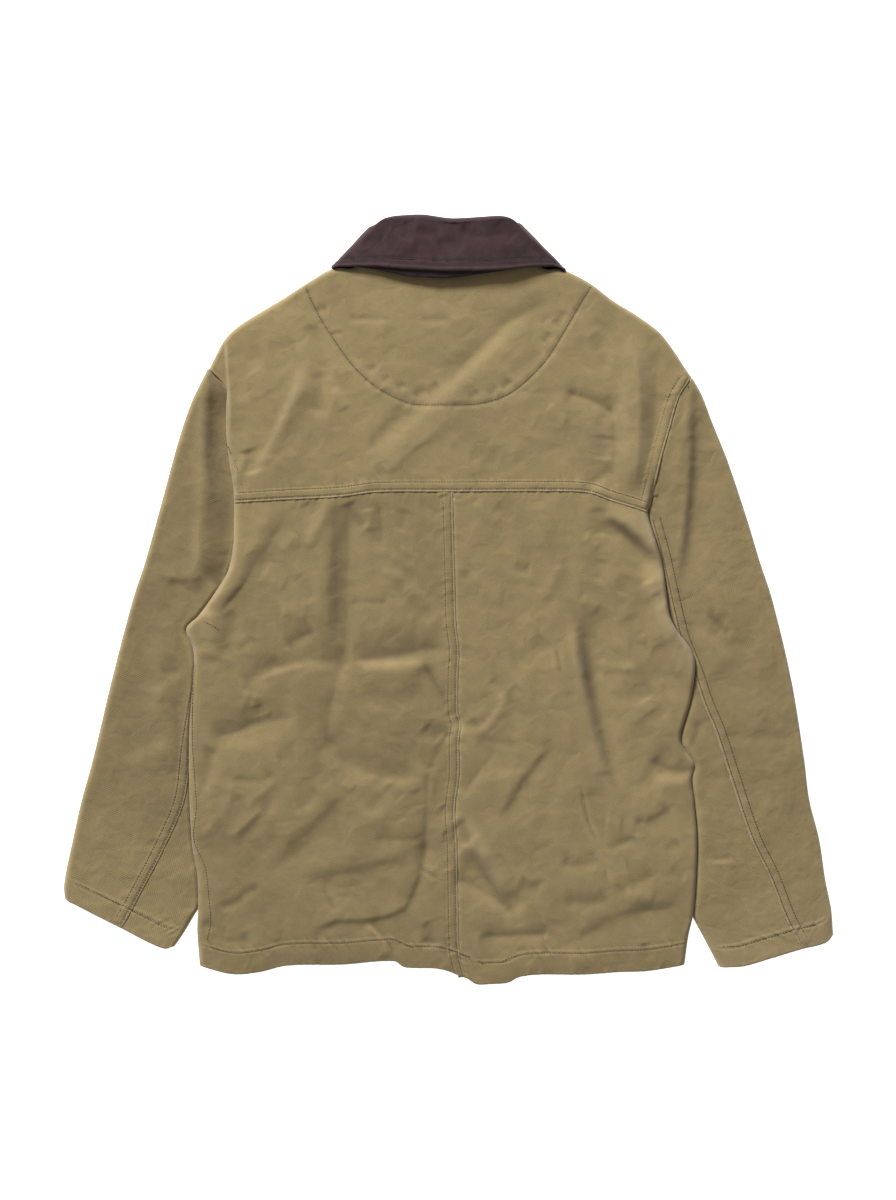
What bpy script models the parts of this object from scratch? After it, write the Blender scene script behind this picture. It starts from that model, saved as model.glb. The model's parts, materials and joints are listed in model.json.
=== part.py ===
"""A chore jacket laid out flat with its back up, built from the pieces that a maker cuts and sews.

The jacket lies on z = 0 with its hem towards -Y and its collar towards +Y. +X is the wearer's
right. Sizes in this file are millimetres, and each mesh is written in metres.

Every cloth piece is a grid of points on its outer face, given a wall along the face's normals. A
piece that goes round a folded edge is measured by its arc: the distance from the fold, positive
on the upper face and negative on the under face.
"""

import math
from collections import namedtuple

import bpy
import numpy as np

MM = 0.001

# Cloth and seams
CLOTH = 1.2
HEM_WALL = 2.4
SEAM_GAP = 0.3
CENTRE_SEAM_GAP = 0.4
YOKE_SEAM_GAP = 0.65
SEAM_LEVEL = 0.036
ROOF_SEAM_LEVEL = 0.08
SEAM_BAND = 10.0
SEAM_RAISE = 0.8
HEM_DEPTH = 25.0

# Where the body's parts end, along Y
HEM_Y = -366.0
BACK_LENGTH = 470.0
ROOF_HEIGHT = 150.0

# Heights of the layers above the table
BODY_LOFT = 15.5
SHOULDER_LOFT = 13.0
HEM_LOFT = 11.8
OVER_SLEEVE_RAISE = 2.0
SLEEVE_LOFT = 12.0
CUFF_LOFT = 10.6
SLEEVE_RISE_START = 3.0
SLEEVE_RISE = 26.0
SLEEVE_COVERED = 5.7
BODY_OVER_SLEEVE = 6.3
FRONT_OVER_COLLAR = 3.5
ROLL = 5.0
ROLL_ARC = ROLL * math.pi / 2

# Front opening and buttons
OVERLAP = 15.0
OVERLAP_GAP = 0.45
PLACKET_LIFT = 2.9
PLACKET_EDGE = 17.0
PLACKET_SLOPE = 18.0
BUTTON_RADIUS = 8.5
BUTTON_HEIGHT = 2.5
BUTTON_HOLE_RADIUS = 1.1
BUTTON_HOLE_OFFSET = 2.3
BUTTON_COUNT = 5
BUTTON_TOP_Y = 240.0
BUTTON_PITCH = 125.0

# Collar
COLLAR_WALL = 1.05
COLLAR_GAP = 0.65

TWILL = ("khaki_twill", (0.288, 0.220, 0.112), 0.92)
COLLAR_CLOTH = ("brown_collar_cloth", (0.069, 0.041, 0.042), 0.85)
UNDER_COLLAR_CLOTH = ("dark_under_collar", (0.030, 0.018, 0.022), 0.9)
BUTTON_STUFF = ("brown_button", (0.045, 0.026, 0.016), 0.4)

Point = namedtuple("Point", "x y")

# The outline of the body from the hem's left corner to the neck, seen from above
BODY_LEFT = [
    Point(-249, -366), Point(-251, -334), Point(-250, -305), Point(-251, -274), Point(-256, -245),
    Point(-259, -190), Point(-259, -133), Point(-256, -90), Point(-254, -60), Point(-256, -45),
    Point(-262, -29), Point(-250, -16), Point(-234, 6), Point(-220, 29), Point(-215, 52),
    Point(-214, 80), Point(-214, 97),
]
YOKE_LEFT = [
    Point(-214, 97), Point(-215, 115), Point(-219, 140), Point(-222, 170), Point(-222, 195),
    Point(-222, 212), Point(-239, 232),
]
SHOULDER_LEFT = [
    Point(-239, 232), Point(-225, 259), Point(-213, 272), Point(-192, 286), Point(-165, 302),
    Point(-137, 320), Point(-119, 328), Point(-98, 326),
]
BODY_RIGHT = [
    Point(237, -365), Point(241, -334), Point(245, -316), Point(248, -281), Point(249, -236),
    Point(246, -200), Point(244, -179), Point(247, -165), Point(238, -152), Point(233, -141),
    Point(234, -130), Point(242, -103), Point(246, -80), Point(247, -62), Point(242, -48),
    Point(230, -32), Point(222, -16), Point(218, 10), Point(215, 34), Point(207, 62),
    Point(200, 87),
]
YOKE_RIGHT = [
    Point(200, 87), Point(203, 98), Point(208, 120), Point(213, 141), Point(222, 173),
    Point(231, 203), Point(244, 223),
]
SHOULDER_RIGHT = [
    Point(244, 223), Point(237, 233), Point(226, 250), Point(212, 268), Point(188, 286),
    Point(165, 300), Point(144, 316), Point(121, 328), Point(99, 326),
]
NECK_BACK = [
    Point(-98, 326), Point(-84, 337), Point(-60, 345), Point(-30, 349), Point(0, 350),
    Point(30, 349), Point(60, 345), Point(84, 337), Point(99, 326),
]
NECK_FRONT = [Point(98, 326), Point(89, 315), Point(68, 304), Point(35, 293), Point(5, 289)]
YOKE_SEAM = [
    Point(-214, 97), Point(-163, 100), Point(-107, 103), Point(-72, 107.5), Point(0, 108),
    Point(92, 108.4), Point(140, 107), Point(163, 99), Point(186, 92), Point(200, 87),
]
FRONT_HEM_LEFT = [
    Point(-249, -366), Point(-216, -368), Point(-161, -361), Point(-54, -357), Point(15, -366),
]
FRONT_HEM_RIGHT = [
    Point(237, -365), Point(199, -367), Point(135, -370), Point(60, -375), Point(-15, -366),
]
CENTRE_SEAM = [
    Point(18, -378), Point(11.5, -352), Point(10, -299), Point(9, -245), Point(7, -209),
    Point(11, -174), Point(11, -139), Point(13, -124), Point(10, -112), Point(10, -76),
    Point(11, -50), Point(8, -23), Point(7, 13), Point(4.5, 107.9),
]
HEM_LEFT = [
    Point(-249, -366), Point(-216, -374), Point(-189, -372), Point(-161, -365.5),
    Point(-107, -364.5), Point(-54, -361), Point(-44, -367), Point(-8, -369), Point(18, -378),
]
HEM_RIGHT = [
    Point(237, -365), Point(199, -371), Point(171, -372), Point(135, -374.5), Point(92, -374.5),
    Point(71, -377), Point(60, -382.5), Point(42, -384), Point(28, -384), Point(18, -378),
]

SleeveLines = namedtuple("SleeveLines", "outer seam inner front cuff armhole front_armhole")

# Each sleeve line runs from the cuff to the armhole. The cuff runs from the outer fold to the
# inner one, and so do the two armhole lines, on the upper and on the under face.
LEFT_SLEEVE = SleeveLines(
    outer=[
        Point(-384, -299), Point(-385, -285), Point(-376, -240), Point(-367, -200),
        Point(-356, -160), Point(-337, -80), Point(-316, 0), Point(-303, 40), Point(-281, 120),
        Point(-270, 160), Point(-258, 196), Point(-248, 217), Point(-241, 231),
    ],
    seam=[
        Point(-326, -328.5), Point(-305, -289), Point(-286, -253), Point(-264, -202),
        Point(-257, -150), Point(-249, -90), Point(-243, -40), Point(-228, 20), Point(-219, 60),
        Point(-216, 96),
    ],
    inner=[
        Point(-274, -347), Point(-265, -334), Point(-251, -311), Point(-208, -250),
        Point(-163, -190), Point(-130, -140), Point(-113, -90), Point(-110, -40),
        Point(-115, 0), Point(-127, 38), Point(-140, 72),
    ],
    front=[
        Point(-296, -342), Point(-262, -290), Point(-215, -215), Point(-185, -150),
        Point(-165, -80), Point(-165, -20), Point(-185, 40), Point(-210, 90),
    ],
    cuff=[
        Point(-384, -299), Point(-357, -313), Point(-326, -328.5), Point(-286, -348),
        Point(-274, -347),
    ],
    armhole=[
        Point(-241, 231), Point(-223.5, 212), Point(-216, 197), Point(-213, 178),
        Point(-214, 158), Point(-220.5, 132), Point(-216, 112), Point(-216, 96),
    ],
    front_armhole=[
        Point(-241, 231), Point(-223.5, 211), Point(-214, 185), Point(-212, 150),
        Point(-211, 115), Point(-210, 90),
    ],
)
RIGHT_SLEEVE = SleeveLines(
    outer=[
        Point(386, -335), Point(384, -310), Point(378, -280), Point(372, -240), Point(362, -200),
        Point(357, -160), Point(344, -80), Point(325, 0), Point(312, 40), Point(300, 80),
        Point(280, 140), Point(264, 180), Point(254.5, 205), Point(245, 222),
    ],
    seam=[
        Point(354, -349), Point(338, -319), Point(321, -276), Point(303, -239), Point(283, -180),
        Point(267, -131), Point(256, -105), Point(244, -70), Point(232, -40), Point(222, 0),
        Point(212, 45), Point(201, 85),
    ],
    inner=[
        Point(271, -367), Point(256, -338), Point(244, -316), Point(212, -262),
        Point(177, -200), Point(157, -140), Point(142, -80), Point(135, -30), Point(137, 5),
        Point(143, 38), Point(150, 64),
    ],
    front=[
        Point(304, -362), Point(270, -300), Point(225, -215), Point(198, -140), Point(185, -70),
        Point(183, -20), Point(190, 40), Point(197, 80),
    ],
    cuff=[
        Point(386, -335), Point(377, -343), Point(354, -349), Point(321, -359), Point(294, -366.5),
        Point(271, -367),
    ],
    armhole=[
        Point(245, 222), Point(232, 202.5), Point(223, 172.8), Point(214, 140.8),
        Point(208.7, 119.7), Point(203.7, 97.7), Point(201, 85),
    ],
    front_armhole=[
        Point(245, 222), Point(232, 202.5), Point(223, 172.8), Point(214, 140.8),
        Point(208.7, 119.7), Point(203.7, 97.7), Point(197, 80),
    ],
)

Fold = namedtuple("Fold", "x0 y0 x1 y1 bow high low reach_high reach_low edge")

# The largest folds. Each runs from (x0, y0) to (x1, y1), bowed to its left by bow. The cloth is
# high above the surface on its left side and low below it on its right, dying away over the
# reaches; edge is the width of the step between them.
BODY_FOLDS = [
    Fold(100, 300, -88, 122, -4, 3.0, 1.6, 14, 22, 7),
    Fold(-140, 250, -208, 108, 6, 2.4, 1.6, 16, 18, 6),
    Fold(176, 250, 178, 100, -4, 2.4, 1.5, 14, 14, 8),
    Fold(-222, 95, -255, -28, 14, 3.4, 2.2, 12, 16, 7),
    Fold(-98, -55, -96, 98, 2, 2.6, 2.0, 30, 26, 6),
    Fold(-12, -60, -96, -60, -4, 3.0, 2.4, 18, 16, 6),
    Fold(-110, -62, -202, -82, -6, 1.8, 1.8, 20, 16, 5),
    Fold(-160, -112, -232, -130, 8, 1.4, 2.4, 22, 18, 7),
    Fold(-20, -172, -104, -156, 14, 2.4, 2.2, 26, 20, 8),
    Fold(-182, -276, -100, -190, 4, 2.6, 1.8, 22, 20, 5),
    Fold(-154, -273, -24, -248, -6, 2.8, 2.0, 14, 16, 5),
    Fold(-42, -300, -2, -131, 10, 3.0, 2.6, 18, 18, 5),
    Fold(-136, -331, -42, -300, 6, 2.0, 2.4, 26, 18, 5),
    Fold(172, -200, 129, -18, 10, 2.2, 2.4, 24, 24, 5),
    Fold(170, 92, 212, 42, 6, 4.0, 3.2, 14, 14, 6),
    Fold(214, 10, 246, -62, -8, 3.2, 1.8, 12, 18, 7),
    Fold(244, -152, 196, -150, 4, 2.2, 3.0, 16, 12, 6),
    Fold(58, -95, 24, -136, 2, 2.4, 1.6, 12, 14, 5),
    Fold(96, -142, 50, -222, 8, 2.0, 1.6, 16, 16, 5),
    Fold(14, -214, 64, -308, -5, 1.8, 2.2, 18, 16, 5),
    Fold(102, -332, 28, -336, -5, 1.6, 2.8, 18, 12, 4),
    Fold(238, -298, 108, -348, -8, 2.0, 2.2, 22, 20, 5),
    Fold(222, -208, 180, -224, -6, 1.6, 2.2, 18, 14, 5),
]
LEFT_SLEEVE_FOLDS = [
    Fold(-288, 18, -236, 14, 2, 1.2, 1.4, 22, 16, 4),
    Fold(-262, -60, -302, -92, 4, 1.6, 1.8, 22, 20, 8),
    Fold(-275, -130, -330, -160, 4, 1.4, 1.4, 26, 20, 8),
]
RIGHT_SLEEVE_FOLDS = [
    Fold(228, 6, 240, 178, -10, 4.6, 2.2, 20, 24, 3),
    Fold(296, -62, 254, -16, 4, 1.8, 1.6, 24, 20, 8),
    Fold(292, -258, 246, -252, 3, 1.4, 1.8, 20, 14, 5),
]

Station = namedtuple("Station", "nx ny nz rx ry rz ex ey ez half turn")

# The collar on the wearer's left from the centre back to the centre front: a point n on the
# neckline, r at the middle of the roll, e on the fall's edge, half the roll's thickness, and how
# far the fall has turned under, in degrees.
COLLAR_STATIONS = [
    Station(0, 352, 10.0, 0, 378, 16.0, 0, 328.5, 22.0, 5.6, 0),
    Station(-30, 351, 10.0, -28, 379, 16.0, -40, 329.5, 21.5, 5.6, 0),
    Station(-58, 348, 10.0, -52, 379.5, 15.6, -78, 331.5, 19.5, 5.2, 4),
    Station(-84, 342, 9.8, -67, 375.5, 15.0, -103, 334, 17.0, 5.0, 8),
    Station(-100, 335, 9.3, -77.5, 371.6, 13.4, -116, 334, 14.5, 4.3, 18),
    Station(-101, 335.8, 8.4, -80.6, 371.2, 8.8, -118.5, 335.5, 8.5, 4.2, 90),
    Station(-100, 335, 7.5, -77.5, 371.4, 4.5, -118, 333, 2.4, 4.2, 162),
    Station(-92, 326.5, 6.6, -73, 354, 4.4, -116.5, 322, 0.4, 4.1, 175),
    Station(-66, 308.5, 6.2, -56, 330, 4.4, -98, 292, 0.25, 4.1, 180),
    Station(-35, 298, 6.2, -30, 313, 4.4, -81, 275, 0.25, 4.1, 180),
    Station(-4, 294, 6.2, -4, 304, 4.4, -66, 262, 0.25, 4.1, 180),
]
COLLAR_EDGE_BELOW = ((0, 66, 81, 98, 113, 125, 150), (280, 255, 266, 282, 297, 304, 328))
UNDER_COLLAR_SHOWN = ((0, 60, 90, 112), (5.5, 3.5, 0.5, 0.0))

# How the grids are spaced
BODY_ROWS = 21
YOKE_ROWS = 8
BODY_COLUMNS = 11
FRONT_COLUMNS = 6
SLEEVE_ROWS = 18
SLEEVE_HEAD_ROWS = 6
FACE_DOWN_COLUMNS = 3
ROLL_STOPS = (0.0, 2.6, 5.2, 7.9, 13.0)
ROOF_STOPS = (12.0, 5.0, 2.5, 0.7, 0.0)
BAND_STOPS = (SEAM_BAND + 2.5, SEAM_BAND, 0.0)


def smooth(share):
    """A share eased from 0 to 1, level at both ends."""
    share = np.clip(share, 0.0, 1.0)
    return share * share * (3 - 2 * share)


class Line:
    """A smooth line through points in plan, read by its share of length."""

    def __init__(self, points, steps=16):
        knots = np.array(points, float)
        slopes = np.gradient(knots, axis=0)
        along = np.linspace(0, 1, steps, endpoint=False)[:, None]
        pieces = []
        for k in range(len(knots) - 1):
            a, b = knots[k], knots[k + 1]
            chord = np.linalg.norm(b - a)
            ta = slopes[k] * chord / max(np.linalg.norm(slopes[k]), 1e-9)
            tb = slopes[k + 1] * chord / max(np.linalg.norm(slopes[k + 1]), 1e-9)
            s2, s3 = along**2, along**3
            pieces.append(
                (2 * s3 - 3 * s2 + 1) * a + (s3 - 2 * s2 + along) * ta
                + (3 * s2 - 2 * s3) * b + (s3 - s2) * tb
            )
        self.points = np.vstack(pieces + [knots[-1:]])
        gone = np.linalg.norm(np.diff(self.points, axis=0), axis=1)
        self.run = np.concatenate([[0.0], np.cumsum(gone)])
        self.length = self.run[-1]
        by_y, by_x = np.argsort(self.points[:, 1]), np.argsort(self.points[:, 0])
        self.rising, self.crossing = self.points[by_y], self.points[by_x]

    def at(self, share):
        """The points at these shares of the length."""
        here = np.clip(share, 0, 1) * self.length
        return np.stack([np.interp(here, self.run, self.points[:, k]) for k in (0, 1)], axis=-1)

    def share_of(self, point):
        """The share of the length at the place nearest to a point."""
        away = np.linalg.norm(self.points - np.array(point, float), axis=1)
        return self.run[np.argmin(away)] / self.length

    def part(self, start, end, count=24):
        """The part of the line between two shares, in either direction."""
        return Line(self.at(np.linspace(start, end, count)).tolist())

    def x_at_y(self, y):
        """The line's x at y, for a line that never turns back in y."""
        return np.interp(y, self.rising[:, 1], self.rising[:, 0])

    def y_at_x(self, x):
        """The line's y at x, for a line that never turns back in x."""
        return np.interp(x, self.crossing[:, 0], self.crossing[:, 1])


def mirrored(points):
    return [Point(-p.x, p.y) for p in points]


def moved(points, dx, dy):
    return [Point(p.x + dx, p.y + dy) for p in points]


back_roof = Line(SHOULDER_LEFT + NECK_BACK[1:-1] + SHOULDER_RIGHT[::-1])
left_edge, right_edge = Line(BODY_LEFT + YOKE_LEFT[1:]), Line(BODY_RIGHT + YOKE_RIGHT[1:])
left_bound = Line(LEFT_SLEEVE.inner + LEFT_SLEEVE.armhole[::-1])
right_bound = Line(RIGHT_SLEEVE.inner + RIGHT_SLEEVE.armhole[::-1])
yoke_seam_line, centre_seam_line = Line(YOKE_SEAM), Line(CENTRE_SEAM)
hem_line = Line(HEM_LEFT + HEM_RIGHT[::-1][1:])


def folds_at(x, y, folds):
    """The height that a table of folds adds at (x, y)."""
    height = np.zeros_like(x)
    for f in folds:
        run_x, run_y = f.x1 - f.x0, f.y1 - f.y0
        length = math.hypot(run_x, run_y)
        along = ((x - f.x0) * run_x + (y - f.y0) * run_y) / length**2
        across = (run_x * (y - f.y0) - run_y * (x - f.x0)) / length
        across = across - 4 * f.bow * along * (1 - along)
        fade = smooth(along / 0.3) * smooth((1 - along) / 0.3)
        left = 0.5 * (1 + np.tanh(across / f.edge))
        rise = f.high * left * np.exp(-np.maximum(across, 0) / f.reach_high)
        dip = f.low * (1 - left) * np.exp(np.minimum(across, 0) / f.reach_low)
        height += fade * (rise - dip)
    return height


def lift_width(y):
    """How wide the step down off a sleeve is: short beside the armhole."""
    return 22 - 10 * smooth((y - 60) / 40)


def past_sleeves(x, y):
    """How far a place is past the inner side of the sleeve on its own half, towards the middle."""
    left_side = np.maximum(left_bound.x_at_y(y), left_bound.x_at_y(y - 8))
    right_side = np.minimum(right_bound.x_at_y(y), right_bound.x_at_y(y - 8))
    return np.where(x < 0, x - left_side, right_side - x) - 5


def on_sleeves(x, y):
    """1 where the body lies on a sleeve, easing to 0 just past the sleeve's inner side."""
    fade = np.where(x < 0, smooth((234 - y) / 20), smooth((124 - y) / 30))
    return fade * (1 - smooth(past_sleeves(x, y) / lift_width(y)))


def body_top(x, y):
    """Height of the back's outer face."""
    height = BODY_LOFT - (BODY_LOFT - SHOULDER_LOFT) * smooth((y - 170) / 160)
    height = height + OVER_SLEEVE_RAISE * on_sleeves(x, y) * smooth((150 - y) / 60)
    height = height - (BODY_LOFT - HEM_LOFT) * np.exp(np.minimum(hem_line.y_at_x(x) - y, 0) / 26)
    height = height + folds_at(x, y, BODY_FOLDS)
    return height


def back_left_top(x, y):
    """The left back's felled centre seam is raised."""
    inside = centre_seam_line.x_at_y(y) - x
    return body_top(x, y) + SEAM_RAISE * smooth((SEAM_BAND + 2.5 - inside) / 2.5)


def yoke_top(x, y):
    """The yoke's lapped seam is raised."""
    return body_top(x, y) + SEAM_RAISE * smooth((SEAM_BAND + 2.5 - y + yoke_seam_line.y_at_x(x)) / 2.5)


def body_under(x, y):
    """Height of the fronts' outer face, which looks down."""
    size = np.abs(x)
    on_buttons = PLACKET_LIFT * (1 - smooth((size - PLACKET_EDGE) / PLACKET_SLOPE))
    collar_edge = np.interp(size, *COLLAR_EDGE_BELOW)
    on_collar = FRONT_OVER_COLLAR * smooth((y - collar_edge + 38) / 20)
    on_layers = BODY_OVER_SLEEVE * on_sleeves(x, y)
    return np.maximum(np.maximum(on_buttons, on_collar), on_layers)


def right_front_under(x, y):
    """The right front lies inside the left one where they overlap."""
    wall = CLOTH + (HEM_WALL - CLOTH) * smooth((HEM_DEPTH + 20 - (y - HEM_Y)) / 12)
    return body_under(x, y) + (wall + OVERLAP_GAP) * (1 - smooth((x - PLACKET_EDGE) / 12))


def sleeve_top(y, outside, cuff_y, joined, joined_height):
    """Height of a sleeve's outer face: low under the body, full beside it, joined at the head."""
    loft = CUFF_LOFT + (SLEEVE_LOFT - CUFF_LOFT) * smooth((y - cuff_y) / 60)
    height = SLEEVE_COVERED + (loft - SLEEVE_COVERED) * smooth((outside - SLEEVE_RISE_START) / SLEEVE_RISE)
    return height + joined * (joined_height - SLEEVE_COVERED) * np.exp(-((outside / 11) ** 2))


def left_sleeve_top(x, y):
    outside = left_edge.x_at_y(y) - x
    height = sleeve_top(y, outside, -330, smooth((y - 213) / 20), SHOULDER_LOFT + 1.0)
    return height + folds_at(x, y, LEFT_SLEEVE_FOLDS) * smooth((outside - 4) / 14)


def right_sleeve_top(x, y):
    """The right sleeve's head stays level with the yoke along the open armhole seam."""
    outside = x - right_edge.x_at_y(y)
    height = sleeve_top(y, outside, -345, smooth((y - 92) / 30), BODY_LOFT - 1.6)
    return height + folds_at(x, y, RIGHT_SLEEVE_FOLDS) * smooth((outside - 4) / 14)


def floor_level(x, y):
    return np.zeros_like(x)


def rolled_left(y):
    """The left side is rolled up to the head of the armhole seam, and open flat above it."""
    return 1 - smooth((y - 200) / 30)


def rolled_right(y):
    """The right side is rolled up to the armhole seam, and open flat along it."""
    return 1 - smooth((y - 93) / 30)


def rolled_roof(x):
    """The shoulders are rolled, and the neckline between them is open flat."""
    return smooth((np.abs(x) - 84) / 12)


class Face:
    """One face of a piece in plan, between a fold line and a far line.

    A row parameter from 0 to 1 is read into shares of the two lines by the two maps.
    """

    def __init__(self, near, far, low, high, near_map=((0, 1), (0, 1)), far_map=((0, 1), (0, 1)),
                 bend_from=0.0):
        self.near, self.far, self.low, self.high = near, far, low, high
        self.bend_from = bend_from
        self.near_map, self.far_map = near_map, far_map
        self.low_ends, self.high_ends = low.at(np.array([0.0, 1.0])), high.at(np.array([0.0, 1.0]))

    def ends(self, row):
        near = self.near.at(np.interp(row, *self.near_map))
        far = self.far.at(np.interp(row, *self.far_map))
        return near, far

    def width(self, row):
        near, far = self.ends(row)
        return np.linalg.norm(far - near, axis=1)

    def at(self, row, inward):
        """The plan points this far in from the fold, with a column for each distance."""
        near, far = self.ends(row)
        f = inward / self.width(row)[:, None]
        g, t = f[..., None], row[:, None, None]
        plain = near[:, None] + (far - near)[:, None] * g
        low_bulge = self.low.at(f) - (self.low_ends[0] * (1 - g) + self.low_ends[1] * g)
        high_bulge = self.high.at(f) - (self.high_ends[0] * (1 - g) + self.high_ends[1] * g)
        bend = np.maximum(t - self.bend_from, 0) / (1 - self.bend_from)
        return plain + (1 - t) * low_bulge + bend * high_bulge


def oriented(points, normals, level):
    """Normals turned to point out: up on an upper face and down on an under face."""
    return normals if np.sum(normals[..., 2] * level) > 0 else -normals


def shell_of(place, row, arc, length, step=0.4):
    """Points and outward normals of a surface, the normals read from the surface itself."""
    points = place(row, arc)[0]
    across = place(row, arc + step)[0] - place(row, arc - step)[0]
    little = 0.1 * step / length
    along = place(np.minimum(row + little, 1), arc)[0] - place(np.maximum(row - little, 0), arc)[0]
    return points, oriented(points, unit(np.cross(across, along)), place(row, arc)[1])


class Wrap:
    """A piece that goes round a fold, from its upper face to its under face."""

    def __init__(self, upper, under, top, bottom):
        self.upper, self.under, self.top, self.bottom = upper, under, top, bottom

    def place(self, row, arc):
        """Points of the outer face at arc distances from the fold, and their levels."""
        turn = np.clip(arc / ROLL_ARC, -1, 1) * math.pi / 2
        inward = ROLL * (1 - np.cos(turn)) + np.maximum(np.abs(arc) - ROLL_ARC, 0)
        level = np.sin(turn)
        plan = np.where((arc >= 0)[..., None], self.upper.at(row, inward), self.under.at(row, inward))
        x, y = plan[..., 0], plan[..., 1]
        high, low = self.top(x, y), self.bottom(x, y)
        return np.stack([x, y, (high + low) / 2 + (high - low) / 2 * level], axis=-1), level

    def shell(self, row, arc):
        return shell_of(self.place, row, arc, self.upper.near.length)


class Panel:
    """One face of the body, rolled down to the seams at its side and its shoulder."""

    def __init__(self, face, top, bottom, side, rolled, roof):
        self.face, self.top, self.bottom, self.side = face, top, bottom, side
        self.rolled, self.roof = rolled, roof

    def place(self, row, arc):
        """Points of the outer face at distances in from the side seam, and their levels."""
        near = self.face.ends(row)[0]
        turn = np.minimum(arc / ROLL_ARC, 1) * math.pi / 2
        held = self.rolled(near[:, 1])[:, None]
        curled = ROLL * (1 - np.cos(turn)) + np.maximum(arc - ROLL_ARC, 0)
        width = self.face.width(row)[:, None]
        flat = arc * width / (width + ROLL_ARC - ROLL)
        inward = held * curled + (1 - held) * flat
        plan = self.face.at(row, inward)
        x, y = plan[..., 0], plan[..., 1]
        side_level = 1 - held * (1 - np.sin(turn))
        depth = np.minimum((1 - row) * ROOF_HEIGHT / ROLL, 1)[:, None] if self.roof else 1.0
        roof_level = 1 - rolled_roof(x) * (1 - np.sqrt(1 - (1 - depth) ** 2))
        least = SEAM_LEVEL + (ROOF_SEAM_LEVEL - SEAM_LEVEL) * smooth(row / 0.1 - 9)[:, None] * self.roof
        level = self.side * (least + (1 - least) * side_level * roof_level)
        high, low = self.top(x, y), self.bottom(x, y)
        return np.stack([x, y, (high + low) / 2 + (high - low) / 2 * level], axis=-1), level

    def shell(self, row, arc):
        return shell_of(self.place, row, arc, self.face.near.length)


def unit(vectors):
    return vectors / np.maximum(np.linalg.norm(vectors, axis=-1, keepdims=True), 1e-9)


def arcs(run, count, start, end):
    """Distances along each row's run: fixed stops at both ends and even ones between them."""
    first, last = np.array(start), np.array(end)
    share = (np.arange(1, count) / count)[None, :]
    low, high = first[-1], run[:, None] - last[0]
    return np.hstack([
        np.tile(first, (len(run), 1)), low + (high - low) * share, run[:, None] - last,
    ])


def inward_where(face, rows, reached):
    """How far in along each row a test of (x, y) first holds."""
    inward = face.width(rows)[:, None] * np.linspace(0, 1, 400)
    plan = face.at(rows, inward)
    hit = reached(plan[..., 0], plan[..., 1])
    first = np.where(hit.any(axis=1), hit.argmax(axis=1), hit.shape[1] - 1)
    return inward[np.arange(len(rows)), first]


def spread(stops, least):
    """Stops kept in order between the first and the last, no two nearer than the least."""
    stops = stops.copy()
    last = stops.shape[1] - 1
    for k in range(1, last):
        stops[:, k] = np.maximum(stops[:, k], stops[:, k - 1] + least)
    for k in range(last - 1, 0, -1):
        stops[:, k] = np.minimum(stops[:, k], stops[:, k + 1] - least)
    return stops


def material(stuff):
    name, colour, roughness = stuff
    made = bpy.data.materials.get(name) or bpy.data.materials.new(name)
    made.use_nodes = True
    shader = made.node_tree.nodes["Principled BSDF"]
    shader.inputs["Base Color"].default_value = (*colour, 1)
    shader.inputs["Roughness"].default_value = roughness
    made.diffuse_color = (*colour, 1)
    return made


def sheet(name, outer, normals, stuff, wall=CLOTH, hem_rows_thick=0):
    """A cloth piece as a closed solid: an outer grid, an inner one inside it, and its edges."""
    rows, columns = outer.shape[:2]
    walls = np.full((rows, 1, 1), wall)
    walls[:hem_rows_thick] = HEM_WALL
    inner = outer - normals * walls
    spots = np.arange(rows * columns).reshape(rows, columns)
    a, b, c, d = (q.ravel() for q in (spots[:-1, :-1], spots[:-1, 1:], spots[1:, 1:], spots[1:, :-1]))
    flat = outer.reshape(-1, 3)
    short = np.linalg.norm(flat[a] - flat[c], axis=1) <= np.linalg.norm(flat[b] - flat[d], axis=1)
    a, b, c, d = (np.where(short, p, q) for p, q in ((a, b), (b, c), (c, d), (d, a)))
    outer_faces = np.vstack([np.stack([a, b, c], axis=1), np.stack([a, c, d], axis=1)])
    rim = np.concatenate([spots[0, :], spots[1:, -1], spots[-1, -2::-1], spots[-2:0:-1, 0]])
    after = np.roll(rim, -1)
    below, below_after = rim + rows * columns, after + rows * columns
    edge_faces = np.vstack([
        np.stack([rim, below, below_after], axis=1), np.stack([rim, below_after, after], axis=1),
    ])
    faces = np.vstack([outer_faces, outer_faces[:, ::-1] + rows * columns, edge_faces])
    if np.sum(normals * normals_of(outer)) < 0:
        faces = faces[:, ::-1]
    mesh = bpy.data.meshes.new(name)
    every = np.vstack([outer.reshape(-1, 3), inner.reshape(-1, 3)]) * MM
    mesh.from_pydata(every.tolist(), [], faces.tolist())
    mesh.materials.append(material(stuff))
    made = bpy.data.objects.new(name, mesh)
    bpy.context.collection.objects.link(made)
    return made


def normals_of(points):
    """Unit normals of a grid of points, from its own neighbours."""
    return unit(np.cross(np.gradient(points, axis=1), np.gradient(points, axis=0)))


def hem_rows(count, length):
    """Row parameters with rows at the hem's stitching, then even ones."""
    first = np.array([0.0, HEM_DEPTH, HEM_DEPTH + 3]) / length
    return np.concatenate([first, np.linspace(first[-1], 1, count)[1:]])


def band_rows(count, length):
    """Row parameters with rows at the edges of the seam's raised band, then even ones."""
    first = np.array([0.0, SEAM_BAND, SEAM_BAND + 2.5]) / length
    return np.concatenate([first, np.linspace(first[-1], 1, count)[1:]])


BodySide = namedtuple("BodySide", "edge knot hem front_hem back_far front_far roof rolled")

LOWER_ROWS = hem_rows(BODY_ROWS, BACK_LENGTH)
PANEL_ROWS = np.concatenate([LOWER_ROWS[:-1], [1 - YOKE_SEAM_GAP / BACK_LENGTH]])
UPPER_ROWS = np.concatenate([
    band_rows(YOKE_ROWS, ROOF_HEIGHT)[:-1], 1 - np.array(ROOF_STOPS) / ROOF_HEIGHT,
])


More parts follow.
